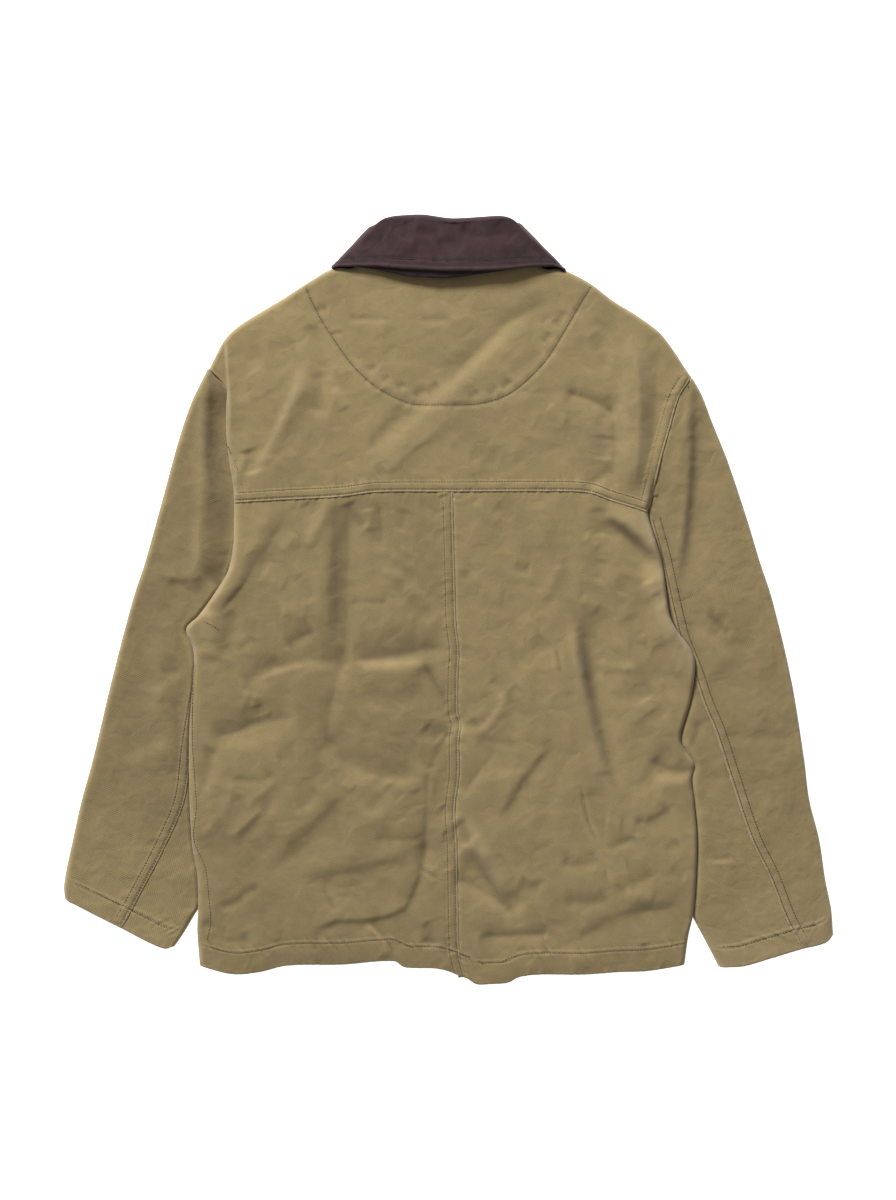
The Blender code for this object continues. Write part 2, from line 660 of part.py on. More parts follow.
def back_panel(name, side, top, end_stops):
    """A lower back panel, from its side seam to the centre back seam."""
    seam = Line(YOKE_SEAM)
    here, centre = seam.share_of(side.edge.at(side.knot)), seam.share_of(CENTRE_SEAM[-1])
    face = Face(side.edge, side.back_far, side.hem, seam.part(here, centre), ((0, 1), (0, side.knot)))
    arc = arcs(ROLL_ARC - ROLL + face.width(PANEL_ROWS), BODY_COLUMNS, ROLL_STOPS, end_stops)
    points, normals = Panel(face, top, body_under, 1, side.rolled, False).shell(PANEL_ROWS, arc)
    return sheet(name, points, normals, TWILL, hem_rows_thick=2)


def front_panel(name, side, bottom):
    """A front, from its side seam, armhole and shoulder seam to the centre front."""
    rows = np.concatenate([PANEL_ROWS * side.knot, side.knot + UPPER_ROWS[1:] * (1 - side.knot)])
    face = Face(side.edge, side.front_far, side.front_hem, side.roof, bend_from=0.62)
    turn = ROLL_ARC - ROLL
    slope_start = PLACKET_EDGE + PLACKET_SLOPE
    over = turn + inward_where(face, rows, lambda x, y: past_sleeves(x, y) > 0)
    past = turn + inward_where(face, rows, lambda x, y: past_sleeves(x, y) > lift_width(y))
    foot = turn + inward_where(face, rows, lambda x, y: np.abs(x) < slope_start)
    head = turn + inward_where(face, rows, lambda x, y: np.abs(x) < PLACKET_EDGE)
    share = np.arange(1, FRONT_COLUMNS) / FRONT_COLUMNS
    even = past[:, None] + (foot - past)[:, None] * share
    arc = np.hstack([
        np.tile(np.array(ROLL_STOPS[:-1]), (len(rows), 1)), over[:, None] * 0.5 + 4, over[:, None],
        past[:, None], even, foot[:, None], head[:, None], turn + face.width(rows)[:, None],
    ])
    panel = Panel(face, body_top, bottom, -1, side.rolled, True)
    points, normals = panel.shell(rows, spread(arc, 2.5))
    return sheet(name, points, normals, TWILL, hem_rows_thick=2)


def yoke(left, right):
    """The back yoke, rolled down to both shoulder seams and over the left armhole."""
    seam = Line(YOKE_SEAM)
    centre = seam.share_of(CENTRE_SEAM[-1])
    left_map, right_map = ((0, 1), (left.knot, 1)), ((0, 1), (right.knot, 1))
    from_left = Face(left.edge, right.edge, seam, back_roof, left_map, right_map)
    from_right = Face(
        right.edge, left.edge, seam.part(1, 0, 200), back_roof.part(1, 0, 400), right_map, left_map
    )
    run = ROLL_ARC - ROLL + from_left.width(UPPER_ROWS) * centre
    other = ROLL_ARC - ROLL + from_left.width(UPPER_ROWS) * (1 - centre)
    left_arc = arcs(run, BODY_COLUMNS, ROLL_STOPS, BAND_STOPS)
    right_arc = arcs(other, BODY_COLUMNS, ROLL_STOPS, (0.0,))
    halves = [
        Panel(from_left, yoke_top, body_under, 1, left.rolled, True).shell(UPPER_ROWS, left_arc),
        Panel(from_right, yoke_top, body_under, 1, right.rolled, True).shell(UPPER_ROWS, right_arc),
    ]
    meet = (halves[0][0][:, -1] + halves[1][0][:, -1]) / 2
    points = np.hstack([halves[0][0][:, :-1], meet[:, None], halves[1][0][:, -2::-1]])
    normals = np.hstack([halves[0][1], halves[1][1][:, -2::-1]])
    return sheet("yoke", points, normals, TWILL)


def sleeve(side_name, lines, top, body_edge):
    """A two-piece sleeve: the top sleeve round its outer fold, the under one round its inner."""
    outer, inner, cuff = Line(lines.outer), Line(lines.inner), Line(lines.cuff)
    seam, front = Line(lines.seam), Line(lines.front)
    high_far = Line(lines.seam + lines.armhole[-2:0:-1])
    low_far = Line(lines.front + lines.front_armhole[-2:0:-1])
    knot = high_far.share_of(lines.seam[-1])
    low_map = ((0, knot, 1), (0, low_far.share_of(lines.front[-1]), 1))

    def cuff_part(start, end):
        return cuff.part(cuff.share_of(start), cuff.share_of(end))

    def closing(a, b):
        return Line([a, Point((a.x + b.x) / 2, (a.y + b.y) / 2), b])

    head = closing(lines.outer[-1], lines.armhole[1])
    front_head = closing(lines.outer[-1], lines.front_armhole[1])
    top_upper = Face(outer, high_far, cuff_part(lines.outer[0], lines.seam[0]), head)
    top_under = Face(
        outer, low_far, cuff_part(lines.outer[0], lines.front[0]), front_head, far_map=low_map
    )
    seam_map = ((0, 1), (0, knot))
    low_seam_map = ((0, 1), (0, low_map[1][1]))
    low_upper = Face(
        inner, high_far, cuff_part(lines.inner[0], lines.seam[0]),
        closing(lines.inner[-1], lines.seam[-1]), far_map=seam_map,
    )
    low_under = Face(
        inner, low_far, cuff_part(lines.inner[0], lines.front[0]),
        closing(lines.inner[-1], lines.front[-1]), far_map=low_seam_map,
    )
    low_rows = hem_rows(SLEEVE_ROWS, seam.length)
    high_rows = np.linspace(knot, 1, SLEEVE_HEAD_ROWS)[1:]
    turn, gap = ROLL_ARC - ROLL, SEAM_GAP * 0.8
    wraps = (
        ("top_sleeve_" + side_name, Wrap(top_upper, top_under, top, floor_level),
         np.concatenate([low_rows * knot, high_rows]), False),
        ("under_sleeve_" + side_name, Wrap(low_upper, low_under, top, floor_level),
         low_rows, True),
    )
    for name, wrap, rows, from_inside in wraps:
        high_end = turn + wrap.upper.width(rows) - gap
        low_end = turn + wrap.under.width(rows) - gap
        half = np.sign(lines.outer[0].x)
        sense = 1 if from_inside else -1

        def crossing(out):
            """Where each row comes to this distance outside the body's edge."""
            return turn + inward_where(
                wrap.upper, rows,
                lambda x, y: sense * (half * (x - body_edge.x_at_y(y)) - out) > 0,
            )

        side_stops = np.stack([crossing(out) for out in (1.0, 15.0, 30.0)[::sense]], axis=1)
        even = ROLL_ARC + (side_stops[:, :1] - ROLL_ARC) * np.array([0.33, 0.67])
        upper = np.hstack([
            np.full((len(rows), 1), ROLL_ARC), even, side_stops,
            high_end[:, None] - SEAM_BAND, high_end[:, None],
        ])
        upper = spread(upper, 2.5)[:, ::-1]
        low_share = np.linspace(0, 1, FACE_DOWN_COLUMNS + 1)[None, :]
        arc = np.hstack([
            upper, np.tile(np.array([ROLL_ARC / 2, 0.0, -ROLL_ARC / 2]), (len(rows), 1)),
            -ROLL_ARC + (ROLL_ARC - low_end)[:, None] * low_share,
        ])
        points, normals = wrap.shell(rows, arc)
        sheet(name, points, normals, TWILL, hem_rows_thick=2)


def collar_surface():
    """The collar's visible face, with normals: up the stand, round the roll and down the fall."""
    half = np.array(COLLAR_STATIONS, float)
    other = half[:0:-1] * np.array([-1, 1, 1, -1, 1, 1, -1, 1, 1, 1, 1])
    table = np.vstack([other, half])
    n, r, e, half_roll = table[:, 0:3], table[:, 3:6], table[:, 6:9], table[:, 9:10]
    turned = np.radians(table[:, 10:])
    fall = unit(e - r)
    aside = unit(np.stack([fall[:, 1], -fall[:, 0], np.zeros(len(fall))], axis=1))
    aside = np.where(aside[:, 1:2] < 0, -aside, aside)
    w = (np.cos(turned) * np.array([0, 0, 1.0]) + np.sin(turned) * aside) * half_roll
    along_w = np.sum(fall * w, axis=1, keepdims=True) / half_roll**2
    away = -unit(fall - along_w * w) * half_roll
    profile = [
        n, r - w, r - 0.71 * w + 0.71 * away, r + away,
        r + 0.71 * w + 0.71 * away, r + w, (r + w) * 0.6 + e * 0.4, (r + w) * 0.22 + e * 0.78, e,
    ]
    facing = [-w, -w, away - w, away, away + w, w, w, w, w]
    return np.stack(profile, axis=1), unit(np.stack(facing, axis=1))


def collar():
    """The top collar, and the under collar lying inside it and showing below its edge."""
    face, normals = collar_surface()
    sheet("top_collar", face, normals, COLLAR_CLOTH, wall=COLLAR_WALL)
    inside = face - normals * (COLLAR_WALL + COLLAR_GAP)
    fall = unit(inside[:, -1] - inside[:, -2])
    shown = np.interp(np.abs(inside[:, -1, 0]), *UNDER_COLLAR_SHOWN) * (inside[:, -1, 2] > 8)
    inside[:, -1] += fall * shown[:, None]
    sheet("under_collar", inside, normals, UNDER_COLLAR_CLOTH, wall=COLLAR_WALL)


def button(index, mesh):
    made = bpy.data.objects.new(f"button_{index + 1}", mesh)
    made.location = (0, (BUTTON_TOP_Y - index * BUTTON_PITCH) * MM, 0)
    bpy.context.collection.objects.link(made)


def button_mesh():
    """A four-hole button with a chamfered rim, face down on the table."""
    bpy.ops.mesh.primitive_cylinder_add(
        vertices=16, radius=BUTTON_RADIUS * MM, depth=BUTTON_HEIGHT * MM,
        location=(0, 0, BUTTON_HEIGHT / 2 * MM),
    )
    disc = bpy.context.object
    bevel = disc.modifiers.new("rim", "BEVEL")
    bevel.width, bevel.segments = 0.5 * MM, 1
    cutters = []
    for quarter in range(4):
        angle = (quarter + 0.5) * math.pi / 2
        place = BUTTON_HOLE_OFFSET * MM
        bpy.ops.mesh.primitive_cylinder_add(
            vertices=6, radius=BUTTON_HOLE_RADIUS * MM, depth=BUTTON_HEIGHT * 2 * MM,
            location=(place * math.cos(angle), place * math.sin(angle), BUTTON_HEIGHT / 2 * MM),
        )
        cutters.append(bpy.context.object)
        cut = disc.modifiers.new("hole", "BOOLEAN")
        cut.operation, cut.object = "DIFFERENCE", cutters[-1]
    bpy.context.view_layer.update()
    evaluated = disc.evaluated_get(bpy.context.evaluated_depsgraph_get())
    mesh = bpy.data.meshes.new_from_object(evaluated)
    mesh.transform(disc.matrix_world)
    mesh.materials.clear()
    mesh.materials.append(material(BUTTON_STUFF))
    for helper in [disc, *cutters]:
        bpy.data.objects.remove(helper)
    return mesh


def main():
    for old in list(bpy.data.objects):
        bpy.data.objects.remove(old)
    overlap_edge = [Point(OVERLAP, HEM_Y), Point(OVERLAP, -100), Point(OVERLAP, 289.5)]
    left = BodySide(
        edge=left_edge, knot=left_edge.share_of(BODY_LEFT[-1]), hem=Line(HEM_LEFT),
        front_hem=Line(FRONT_HEM_LEFT), back_far=Line(moved(CENTRE_SEAM, -CENTRE_SEAM_GAP / 2, 0)),
        front_far=Line(overlap_edge),
        roof=Line(SHOULDER_LEFT[:-1] + mirrored(NECK_FRONT) + overlap_edge[-1:]),
        rolled=rolled_left,
    )
    right = BodySide(
        edge=right_edge, knot=right_edge.share_of(BODY_RIGHT[-1]), hem=Line(HEM_RIGHT),
        front_hem=Line(FRONT_HEM_RIGHT), back_far=Line(moved(CENTRE_SEAM, CENTRE_SEAM_GAP / 2, 0)),
        front_far=Line(mirrored(overlap_edge)),
        roof=Line(SHOULDER_RIGHT[:-1] + NECK_FRONT + mirrored(overlap_edge)[-1:]),
        rolled=rolled_right,
    )
    yoke(left, right)
    back_panel("back_left", left, back_left_top, BAND_STOPS)
    back_panel("back_right", right, body_top, (0.0,))
    front_panel("front_left", left, body_under)
    front_panel("front_right", right, right_front_under)
    sleeve("left", LEFT_SLEEVE, left_sleeve_top, left_edge)
    sleeve("right", RIGHT_SLEEVE, right_sleeve_top, right_edge)
    collar()
    mesh = button_mesh()
    for index in range(BUTTON_COUNT):
        button(index, mesh)


main()
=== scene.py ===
"""A chore jacket laid out flat with its back up, dressed for a studio picture.

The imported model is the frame. Each cloth piece is made again as a fine, thin shell on the form of
its solid, with creases, felled seams, hems and sewing, and rides on the solid's body in its place.
The buttons stay as they are packed and get a moulded finish.

Sizes are millimetres in this file and each mesh is written in metres. The hem lies towards -Y, the
collar towards +Y and the wearer's right towards +X. z = 0 is the surface that the jacket lies on.
"""

from __future__ import annotations

import json
import logging
import math
from collections.abc import Callable, Sequence
from dataclasses import dataclass
from enum import Enum, auto

import bpy
import numpy as np
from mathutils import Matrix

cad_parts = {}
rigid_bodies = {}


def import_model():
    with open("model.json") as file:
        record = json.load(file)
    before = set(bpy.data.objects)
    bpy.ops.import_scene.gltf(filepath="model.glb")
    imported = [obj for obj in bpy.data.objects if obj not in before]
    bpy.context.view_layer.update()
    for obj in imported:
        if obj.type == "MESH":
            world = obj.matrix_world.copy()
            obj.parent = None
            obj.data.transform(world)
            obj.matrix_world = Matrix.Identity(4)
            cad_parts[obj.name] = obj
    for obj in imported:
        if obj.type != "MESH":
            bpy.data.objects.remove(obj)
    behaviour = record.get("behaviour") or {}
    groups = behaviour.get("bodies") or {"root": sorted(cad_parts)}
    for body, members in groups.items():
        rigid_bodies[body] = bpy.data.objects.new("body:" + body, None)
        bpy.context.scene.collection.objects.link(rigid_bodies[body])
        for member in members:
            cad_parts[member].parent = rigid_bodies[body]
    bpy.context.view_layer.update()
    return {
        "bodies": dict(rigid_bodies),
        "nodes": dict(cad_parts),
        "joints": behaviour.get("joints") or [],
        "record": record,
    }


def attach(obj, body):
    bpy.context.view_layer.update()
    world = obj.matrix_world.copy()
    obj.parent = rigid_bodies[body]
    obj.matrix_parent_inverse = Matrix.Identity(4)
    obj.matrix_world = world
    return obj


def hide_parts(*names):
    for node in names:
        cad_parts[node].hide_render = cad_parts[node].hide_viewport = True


log = logging.getLogger("chore_jacket")

MM = 0.001

Pair = tuple[float, float]
Heights = Callable[[np.ndarray, np.ndarray], np.ndarray]


class Slot(Enum):
    """The record's material slots."""

    TWILL = "khaki_twill"
    COLLAR = "brown_collar_cloth"
    UNDER_COLLAR = "dark_under_collar"
    BUTTON = "brown_button"


# --- Shares, lines and stops ---------------------------------------------------------------------


def smooth(share: np.ndarray) -> np.ndarray:
    """A share eased from 0 to 1, level at both ends."""
    share = np.clip(share, 0.0, 1.0)
    return share * share * (3 - 2 * share)


def unit(vectors: np.ndarray) -> np.ndarray:
    """Vectors scaled to length 1."""
    return vectors / np.maximum(np.linalg.norm(vectors, axis=-1, keepdims=True), 1e-9)


def mirrored(points: Sequence[Pair]) -> list[Pair]:
    """Points mirrored in the jacket's centre line."""
    return [(-x, y) for x, y in points]


def moved(points: Sequence[Pair], dx: float) -> list[Pair]:
    """Points moved along X."""
    return [(x + dx, y) for x, y in points]


def ripple(along: np.ndarray, start: float) -> np.ndarray:
    """The uneven pucker that a row of stitches draws into cloth, from about -1 to 1.

    Three sines of unlike wavelengths, swelled and stilled by a slow fourth one.

    Args:
        along: distances along the row in mm.
        start: where in the pattern the row starts, so that no two rows are alike.

    Returns:
        The pucker at each distance.
    """
    s = along + 61.0 * start
    quick = 0.5 * np.sin(s / 1.05) + 0.4 * np.sin(s / 1.71 + 1.3) + 0.35 * np.sin(s / 2.63 + 4.0)
    return quick * (0.62 + 0.38 * np.sin(s / 8.3 + 2.0 * np.sin(s / 31.0)))


def graded(length: float, pitch: float, fine: float, spans: Sequence[Pair]) -> np.ndarray:
    """Stops from 0 to a length, at a fine pitch inside the spans and easing to the plain one."""
    spot = np.linspace(0, length, int(length / 0.2) + 2)
    away = np.min([np.maximum(np.maximum(a - spot, spot - b), 0) for a, b in spans], axis=0)
    spacing = fine + (pitch - fine) * smooth(away / 8.0)
    count = np.concatenate([[0.0], np.cumsum(2 * np.diff(spot) / (spacing[1:] + spacing[:-1]))])
    return np.interp(np.linspace(0, count[-1], math.ceil(count[-1]) + 1), count, spot)


def fanned(run: np.ndarray, pitch: float, start: np.ndarray, end: np.ndarray) -> np.ndarray:
    """Distances along each row's run: fixed stops at both ends and even ones between them.

    Args:
        run: each row's length.
        pitch: the widest distance wanted between the even stops.
        start: stops counted from the run's start, growing.
        end: stops counted back from the run's end, shrinking.

    Returns:
        A row of distances for each run.
    """
    low, high = start[-1], run[:, None] - end[0]
    count = max(math.ceil(float(np.max(high - low)) / pitch), 2)
    share = (np.arange(1, count) / count)[None, :]
    return np.hstack([
        np.tile(start, (len(run), 1)), low + (high - low) * share, run[:, None] - end,
    ])


class PlanLine:
    """A smooth line through points in plan, read by its share of length."""

    def __init__(self, points: Sequence[Pair], steps: int = 16) -> None:
        """Joins the points by cubic pieces whose slopes follow their neighbours.

        Args:
            points: the points that the line passes through.
            steps: how many short straight pieces each cubic is read as.
        """
        knots = np.array(points, float)
        slopes = np.gradient(knots, axis=0)
        along = np.linspace(0, 1, steps, endpoint=False)[:, None]
        pieces = []
        for k in range(len(knots) - 1):
            a, b = knots[k], knots[k + 1]
            chord = np.linalg.norm(b - a)
            leave = slopes[k] * chord / max(np.linalg.norm(slopes[k]), 1e-9)
            arrive = slopes[k + 1] * chord / max(np.linalg.norm(slopes[k + 1]), 1e-9)
            s2, s3 = along**2, along**3
            pieces.append(
                (2 * s3 - 3 * s2 + 1) * a + (s3 - 2 * s2 + along) * leave
                + (3 * s2 - 2 * s3) * b + (s3 - s2) * arrive
            )
        self.points = np.vstack(pieces + [knots[-1:]])
        gone = np.linalg.norm(np.diff(self.points, axis=0), axis=1)
        self.run = np.concatenate([[0.0], np.cumsum(gone)])
        self.length = float(self.run[-1])
        by_y, by_x = np.argsort(self.points[:, 1]), np.argsort(self.points[:, 0])
        self.rising, self.crossing = self.points[by_y], self.points[by_x]

    def at(self, share: np.ndarray) -> np.ndarray:
        """The points at these shares of the length."""
        here = np.clip(share, 0, 1) * self.length
        return np.stack([np.interp(here, self.run, self.points[:, k]) for k in (0, 1)], axis=-1)

    def share_of(self, point: Pair) -> float:
        """The share of the length at the place nearest to a point."""
        away = np.linalg.norm(self.points - np.array(point, float), axis=1)
        return float(self.run[np.argmin(away)] / self.length)

    def part(self, start: float, end: float, count: int = 24) -> PlanLine:
        """The part of the line between two shares, in either direction."""
        return PlanLine(self.at(np.linspace(start, end, count)).tolist())

    def beside(self, away: float, start: float = 0.0, end: float = 1.0) -> PlanLine:
        """A line this far to the left of this one, between two shares of it."""
        share = np.linspace(start, end, max(int(self.length / 6), 6))
        points, ahead = self.at(share), unit(self.at(share + 0.004) - self.at(share - 0.004))
        left = np.stack([-ahead[:, 1], ahead[:, 0]], axis=1)
        return PlanLine((points + left * away).tolist(), steps=3)

    def x_at_y(self, y: np.ndarray) -> np.ndarray:
        """The line's x at y, for a line that never turns back in y."""
        return np.interp(y, self.rising[:, 1], self.rising[:, 0])

    def y_at_x(self, x: np.ndarray) -> np.ndarray:
        """The line's y at x, for a line that never turns back in x."""
        return np.interp(x, self.crossing[:, 0], self.crossing[:, 1])

    def nearest(
        self, x: np.ndarray, y: np.ndarray, reach: float
    ) -> tuple[np.ndarray, np.ndarray, np.ndarray]:
        """The places within reach of the line's box, and where they lie beside it.

        Args:
            x: the places' x in mm.
            y: the places' y in mm.
            reach: how far outside the line's box a place may lie.

        Returns:
            The places' indices, their signed distance (positive on the line's left) and the share
            of the line's length at the point nearest to each.
        """
        places = np.stack([x.ravel(), y.ravel()], axis=1)
        low, high = self.points.min(axis=0) - reach, self.points.max(axis=0) + reach
        spots = np.flatnonzero(np.all((places > low) & (places < high), axis=1))
        close = places[spots]
        best, side, share = np.full(len(spots), np.inf), np.ones(len(spots)), np.zeros(len(spots))
        for start, end, gone in zip(self.points[:-1], self.points[1:], self.run[:-1]):
            step = end - start
            length = max(float(np.hypot(*step)), 1e-9)
            from_start = close - start
            along = np.clip(from_start @ step / length**2, 0, 1)
            off = from_start - along[:, None] * step
            away = np.hypot(off[:, 0], off[:, 1])
            turn = step[0] * from_start[:, 1] - step[1] * from_start[:, 0]
            nearer = away < best
            best = np.where(nearer, away, best)
            side = np.where(nearer, np.where(turn < 0, -1.0, 1.0), side)
            share = np.where(nearer, (gone + along * length) / self.length, share)
        return spots, best * side, share


# --- The cut's lines in plan ---------------------------------------------------------------------


@dataclass(frozen=True)
class SleeveLines:
    """A sleeve's lines in plan. Those along it run from the cuff to the armhole."""

    outer: Sequence[Pair]
    seam: Sequence[Pair]
    inner: Sequence[Pair]
    front: Sequence[Pair]
    cuff: Sequence[Pair]
    armhole: Sequence[Pair]
    front_armhole: Sequence[Pair]


# The outline of the body from the hem's left corner to the neck, seen from above
BODY_LEFT = [
    (-249, -366), (-251, -334), (-250, -305), (-251, -274), (-256, -245),
    (-259, -190), (-259, -133), (-256, -90), (-254, -60), (-256, -45),
    (-262, -29), (-250, -16), (-234, 6), (-220, 29), (-215, 52),
    (-214, 80), (-214, 97),
]
YOKE_LEFT = [
    (-214, 97), (-215, 115), (-219, 140), (-222, 170), (-222, 195),
    (-222, 212), (-239, 232),
]
SHOULDER_LEFT = [
    (-239, 232), (-225, 259), (-213, 272), (-192, 286), (-165, 302),
    (-137, 320), (-120, 330), (-108, 333), (-98, 332),
]
BODY_RIGHT = [
    (237, -365), (241, -334), (245, -316), (248, -281), (249, -236),
    (246, -200), (244, -179), (247, -165), (238, -152), (233, -141),
    (234, -130), (242, -103), (246, -80), (247, -62), (242, -48),
    (230, -32), (222, -16), (218, 10), (215, 34), (207, 62),
    (200, 87),
]
YOKE_RIGHT = [
    (200, 87), (203, 98), (208, 120), (213, 141), (222, 173),
    (231, 203), (244, 223),
]
SHOULDER_RIGHT = [
    (244, 223), (237, 233), (226, 250), (212, 268), (188, 286),
    (165, 300), (144, 316), (121, 328.5), (109, 331.5), (99, 331),
]
NECK_BACK = [
    (-98, 332), (-84, 338), (-60, 345), (-30, 349), (0, 350),
    (30, 349), (60, 345), (84, 338), (99, 331),
]
NECK_FRONT = [(98, 326), (89, 315), (68, 304), (35, 293), (5, 289)]
YOKE_SEAM = [
    (-214, 97), (-163, 100), (-107, 103), (-72, 107.5), (0, 108),
    (92, 108.4), (140, 107), (163, 99), (186, 92), (200, 87),
]
FRONT_HEM_LEFT = [
    (-249, -366), (-216, -368), (-161, -361), (-54, -357), (15, -366),
]
FRONT_HEM_RIGHT = [
    (237, -365), (199, -367), (135, -370), (60, -375), (-15, -366),
]
CENTRE_SEAM = [
    (18, -378), (11.5, -352), (10, -299), (9, -245), (7, -209),
    (11, -174), (11, -139), (13, -124), (10, -112), (10, -76),
    (11, -50), (8, -23), (7, 13), (4.5, 107.9),
]
HEM_LEFT = [
    (-249, -366), (-216, -374), (-189, -372), (-161, -365.5),
    (-107, -364.5), (-54, -361), (-44, -367), (-8, -369), (18, -378),
]
HEM_RIGHT = [
    (237, -365), (199, -371), (171, -372), (135, -374.5), (92, -374.5),
    (71, -377), (60, -382.5), (42, -384), (28, -384), (18, -378),
]

# Each sleeve line runs from the cuff to the armhole. The cuff runs from the outer fold to the
# inner one, and so do the two armhole lines, on the upper and on the under face.
LEFT_SLEEVE = SleeveLines(
    outer=[
        (-384, -299), (-385, -285), (-376, -240), (-367, -200),
        (-356, -160), (-337, -80), (-316, 0), (-303, 40), (-281, 120),
        (-270, 160), (-258, 196), (-248, 217), (-241, 231),
    ],
    seam=[
        (-326, -328.5), (-305, -289), (-286, -253), (-264, -202),
        (-257, -150), (-247, -90), (-235, -40), (-214, 20), (-205, 60),
        (-203, 96),
    ],
    inner=[
        (-274, -347), (-265, -334), (-251, -311), (-208, -250),
        (-163, -190), (-130, -140), (-113, -90), (-110, -40),
        (-115, 0), (-127, 38), (-140, 72),
    ],
    front=[
        (-296, -342), (-262, -290), (-215, -215), (-185, -150),
        (-165, -80), (-165, -20), (-185, 40), (-210, 90),
    ],
    cuff=[
        (-384, -299), (-357, -313), (-326, -328.5), (-286, -348),
        (-274, -347),
    ],
    armhole=[
        (-241, 231), (-222.9, 211.8), (-216, 197), (-213, 178),
        (-212, 158), (-213, 132), (-206, 112), (-203, 96),
    ],
    front_armhole=[
        (-241, 231), (-223.5, 211), (-214, 185), (-212, 150),
        (-211, 115), (-210, 90),
    ],
)
RIGHT_SLEEVE = SleeveLines(
    outer=[
        (386, -335), (384, -310), (378, -280), (372, -240), (362, -200),
        (357, -160), (344, -80), (325, 0), (312, 40), (300, 80),
        (280, 140), (264, 180), (254.5, 205), (245, 222),
    ],
    seam=[
        (354, -349), (338, -319), (321, -276), (303, -239), (283, -180),
        (267, -131), (256, -105), (244, -70), (232, -40), (222, 0),
        (212, 45), (201, 85),
    ],
    inner=[
        (271, -367), (256, -338), (244, -316), (212, -262),
        (177, -200), (157, -140), (142, -80), (135, -30), (137, 5),
        (143, 38), (150, 64),
    ],
    front=[
        (304, -362), (270, -300), (225, -215), (198, -140), (185, -70),
        (183, -20), (190, 40), (197, 80),
    ],
    cuff=[
        (386, -335), (377, -343), (354, -349), (321, -359), (294, -366.5),
        (271, -367),
    ],
    armhole=[
        (245, 222), (231.5, 202.8), (222.5, 172.9), (213.5, 140.9),
        (208.3, 119.8), (203.4, 97.8), (201, 85),
    ],
    front_armhole=[
        (245, 222), (232, 202.5), (223, 172.8), (214, 140.8),
        (208.7, 119.7), (203.7, 97.7), (197, 80),
    ],
)

# The sewn half-moon on the yoke, and the short rows that show along the left side
HALF_MOON = [
    (-142, 312), (-134, 294), (-126, 279), (-117, 265), (-97, 236.5), (-77, 217), (-56, 204),
    (-34, 196), (-5, 195), (27.5, 196), (52, 202), (72, 214), (97, 239), (115, 267), (132, 296),
    (143, 314),
]
SIDE_SEWING = (
    (
        (-254, -62), (-255.5, -100), (-255.5, -140), (-253, -180), (-251.4, -207), (-254, -240),
        (-243, -266), (-238.7, -300), (-237.4, -322), (-241, -340),
    ),
    ((-245, -21), (-236, -25), (-228, -30)),
    ((-222, 157), (-212, 136), (-206, 114)),
)
COLLAR_EDGE_BELOW = ((0, 66, 81, 98, 113, 125, 150), (280, 255, 266, 282, 297, 304, 328))
# How far the dark under collar is let out past the top collar's edge, along x; the strip is darker partly as
# its own cloth and partly as painted shade.
UNDER_COLLAR_SHOWN = ((-92, -80, -60, -34, -5, 12, 27, 56, 70), (0.0, 1.6, 4.2, 6.8, 7.0, 5.4, 3.4, 0.5, 0.0))


class Relief(Enum):
    """What a crease looks like in section."""

    RIDGE = auto()
    TROUGH = auto()
    PINCH = auto()
    CREST = auto()
    VALLEY = auto()
    STEP = auto()


@dataclass(frozen=True)
class Fold:
    """A large fold from (x0, y0) to (x1, y1), bowed to its left.

    The cloth is high above the surface on the fold's left and low below it on its right, dying
    away over the two reaches. edge is the width of the step between them.
    """

    x0: float
    y0: float
    x1: float
    y1: float
    bow: float
    high: float
    low: float
    reach_high: float
    reach_low: float
    edge: float

    def height(self, x: np.ndarray, y: np.ndarray) -> np.ndarray:
        """The height that the fold adds at each place.

        The distance across is eased from low to high by a tanh, dies away exponentially on both
        sides, and fades at both ends of the fold.

        Args:
            x: the places' x in mm.
            y: the places' y in mm.

        Returns:
            The added height in mm.
        """
        run_x, run_y = self.x1 - self.x0, self.y1 - self.y0
        length = math.hypot(run_x, run_y)
        along = ((x - self.x0) * run_x + (y - self.y0) * run_y) / length**2
        across = (run_x * (y - self.y0) - run_y * (x - self.x0)) / length
        across = across - 4 * self.bow * along * (1 - along)
        fade = smooth(along / 0.3) * smooth((1 - along) / 0.3)
        left = 0.5 * (1 + np.tanh(across / self.edge))
        rise = self.high * left * np.exp(-np.maximum(across, 0) / self.reach_high)
        dip = self.low * (1 - left) * np.exp(np.minimum(across, 0) / self.reach_low)
        return fade * (rise - dip)


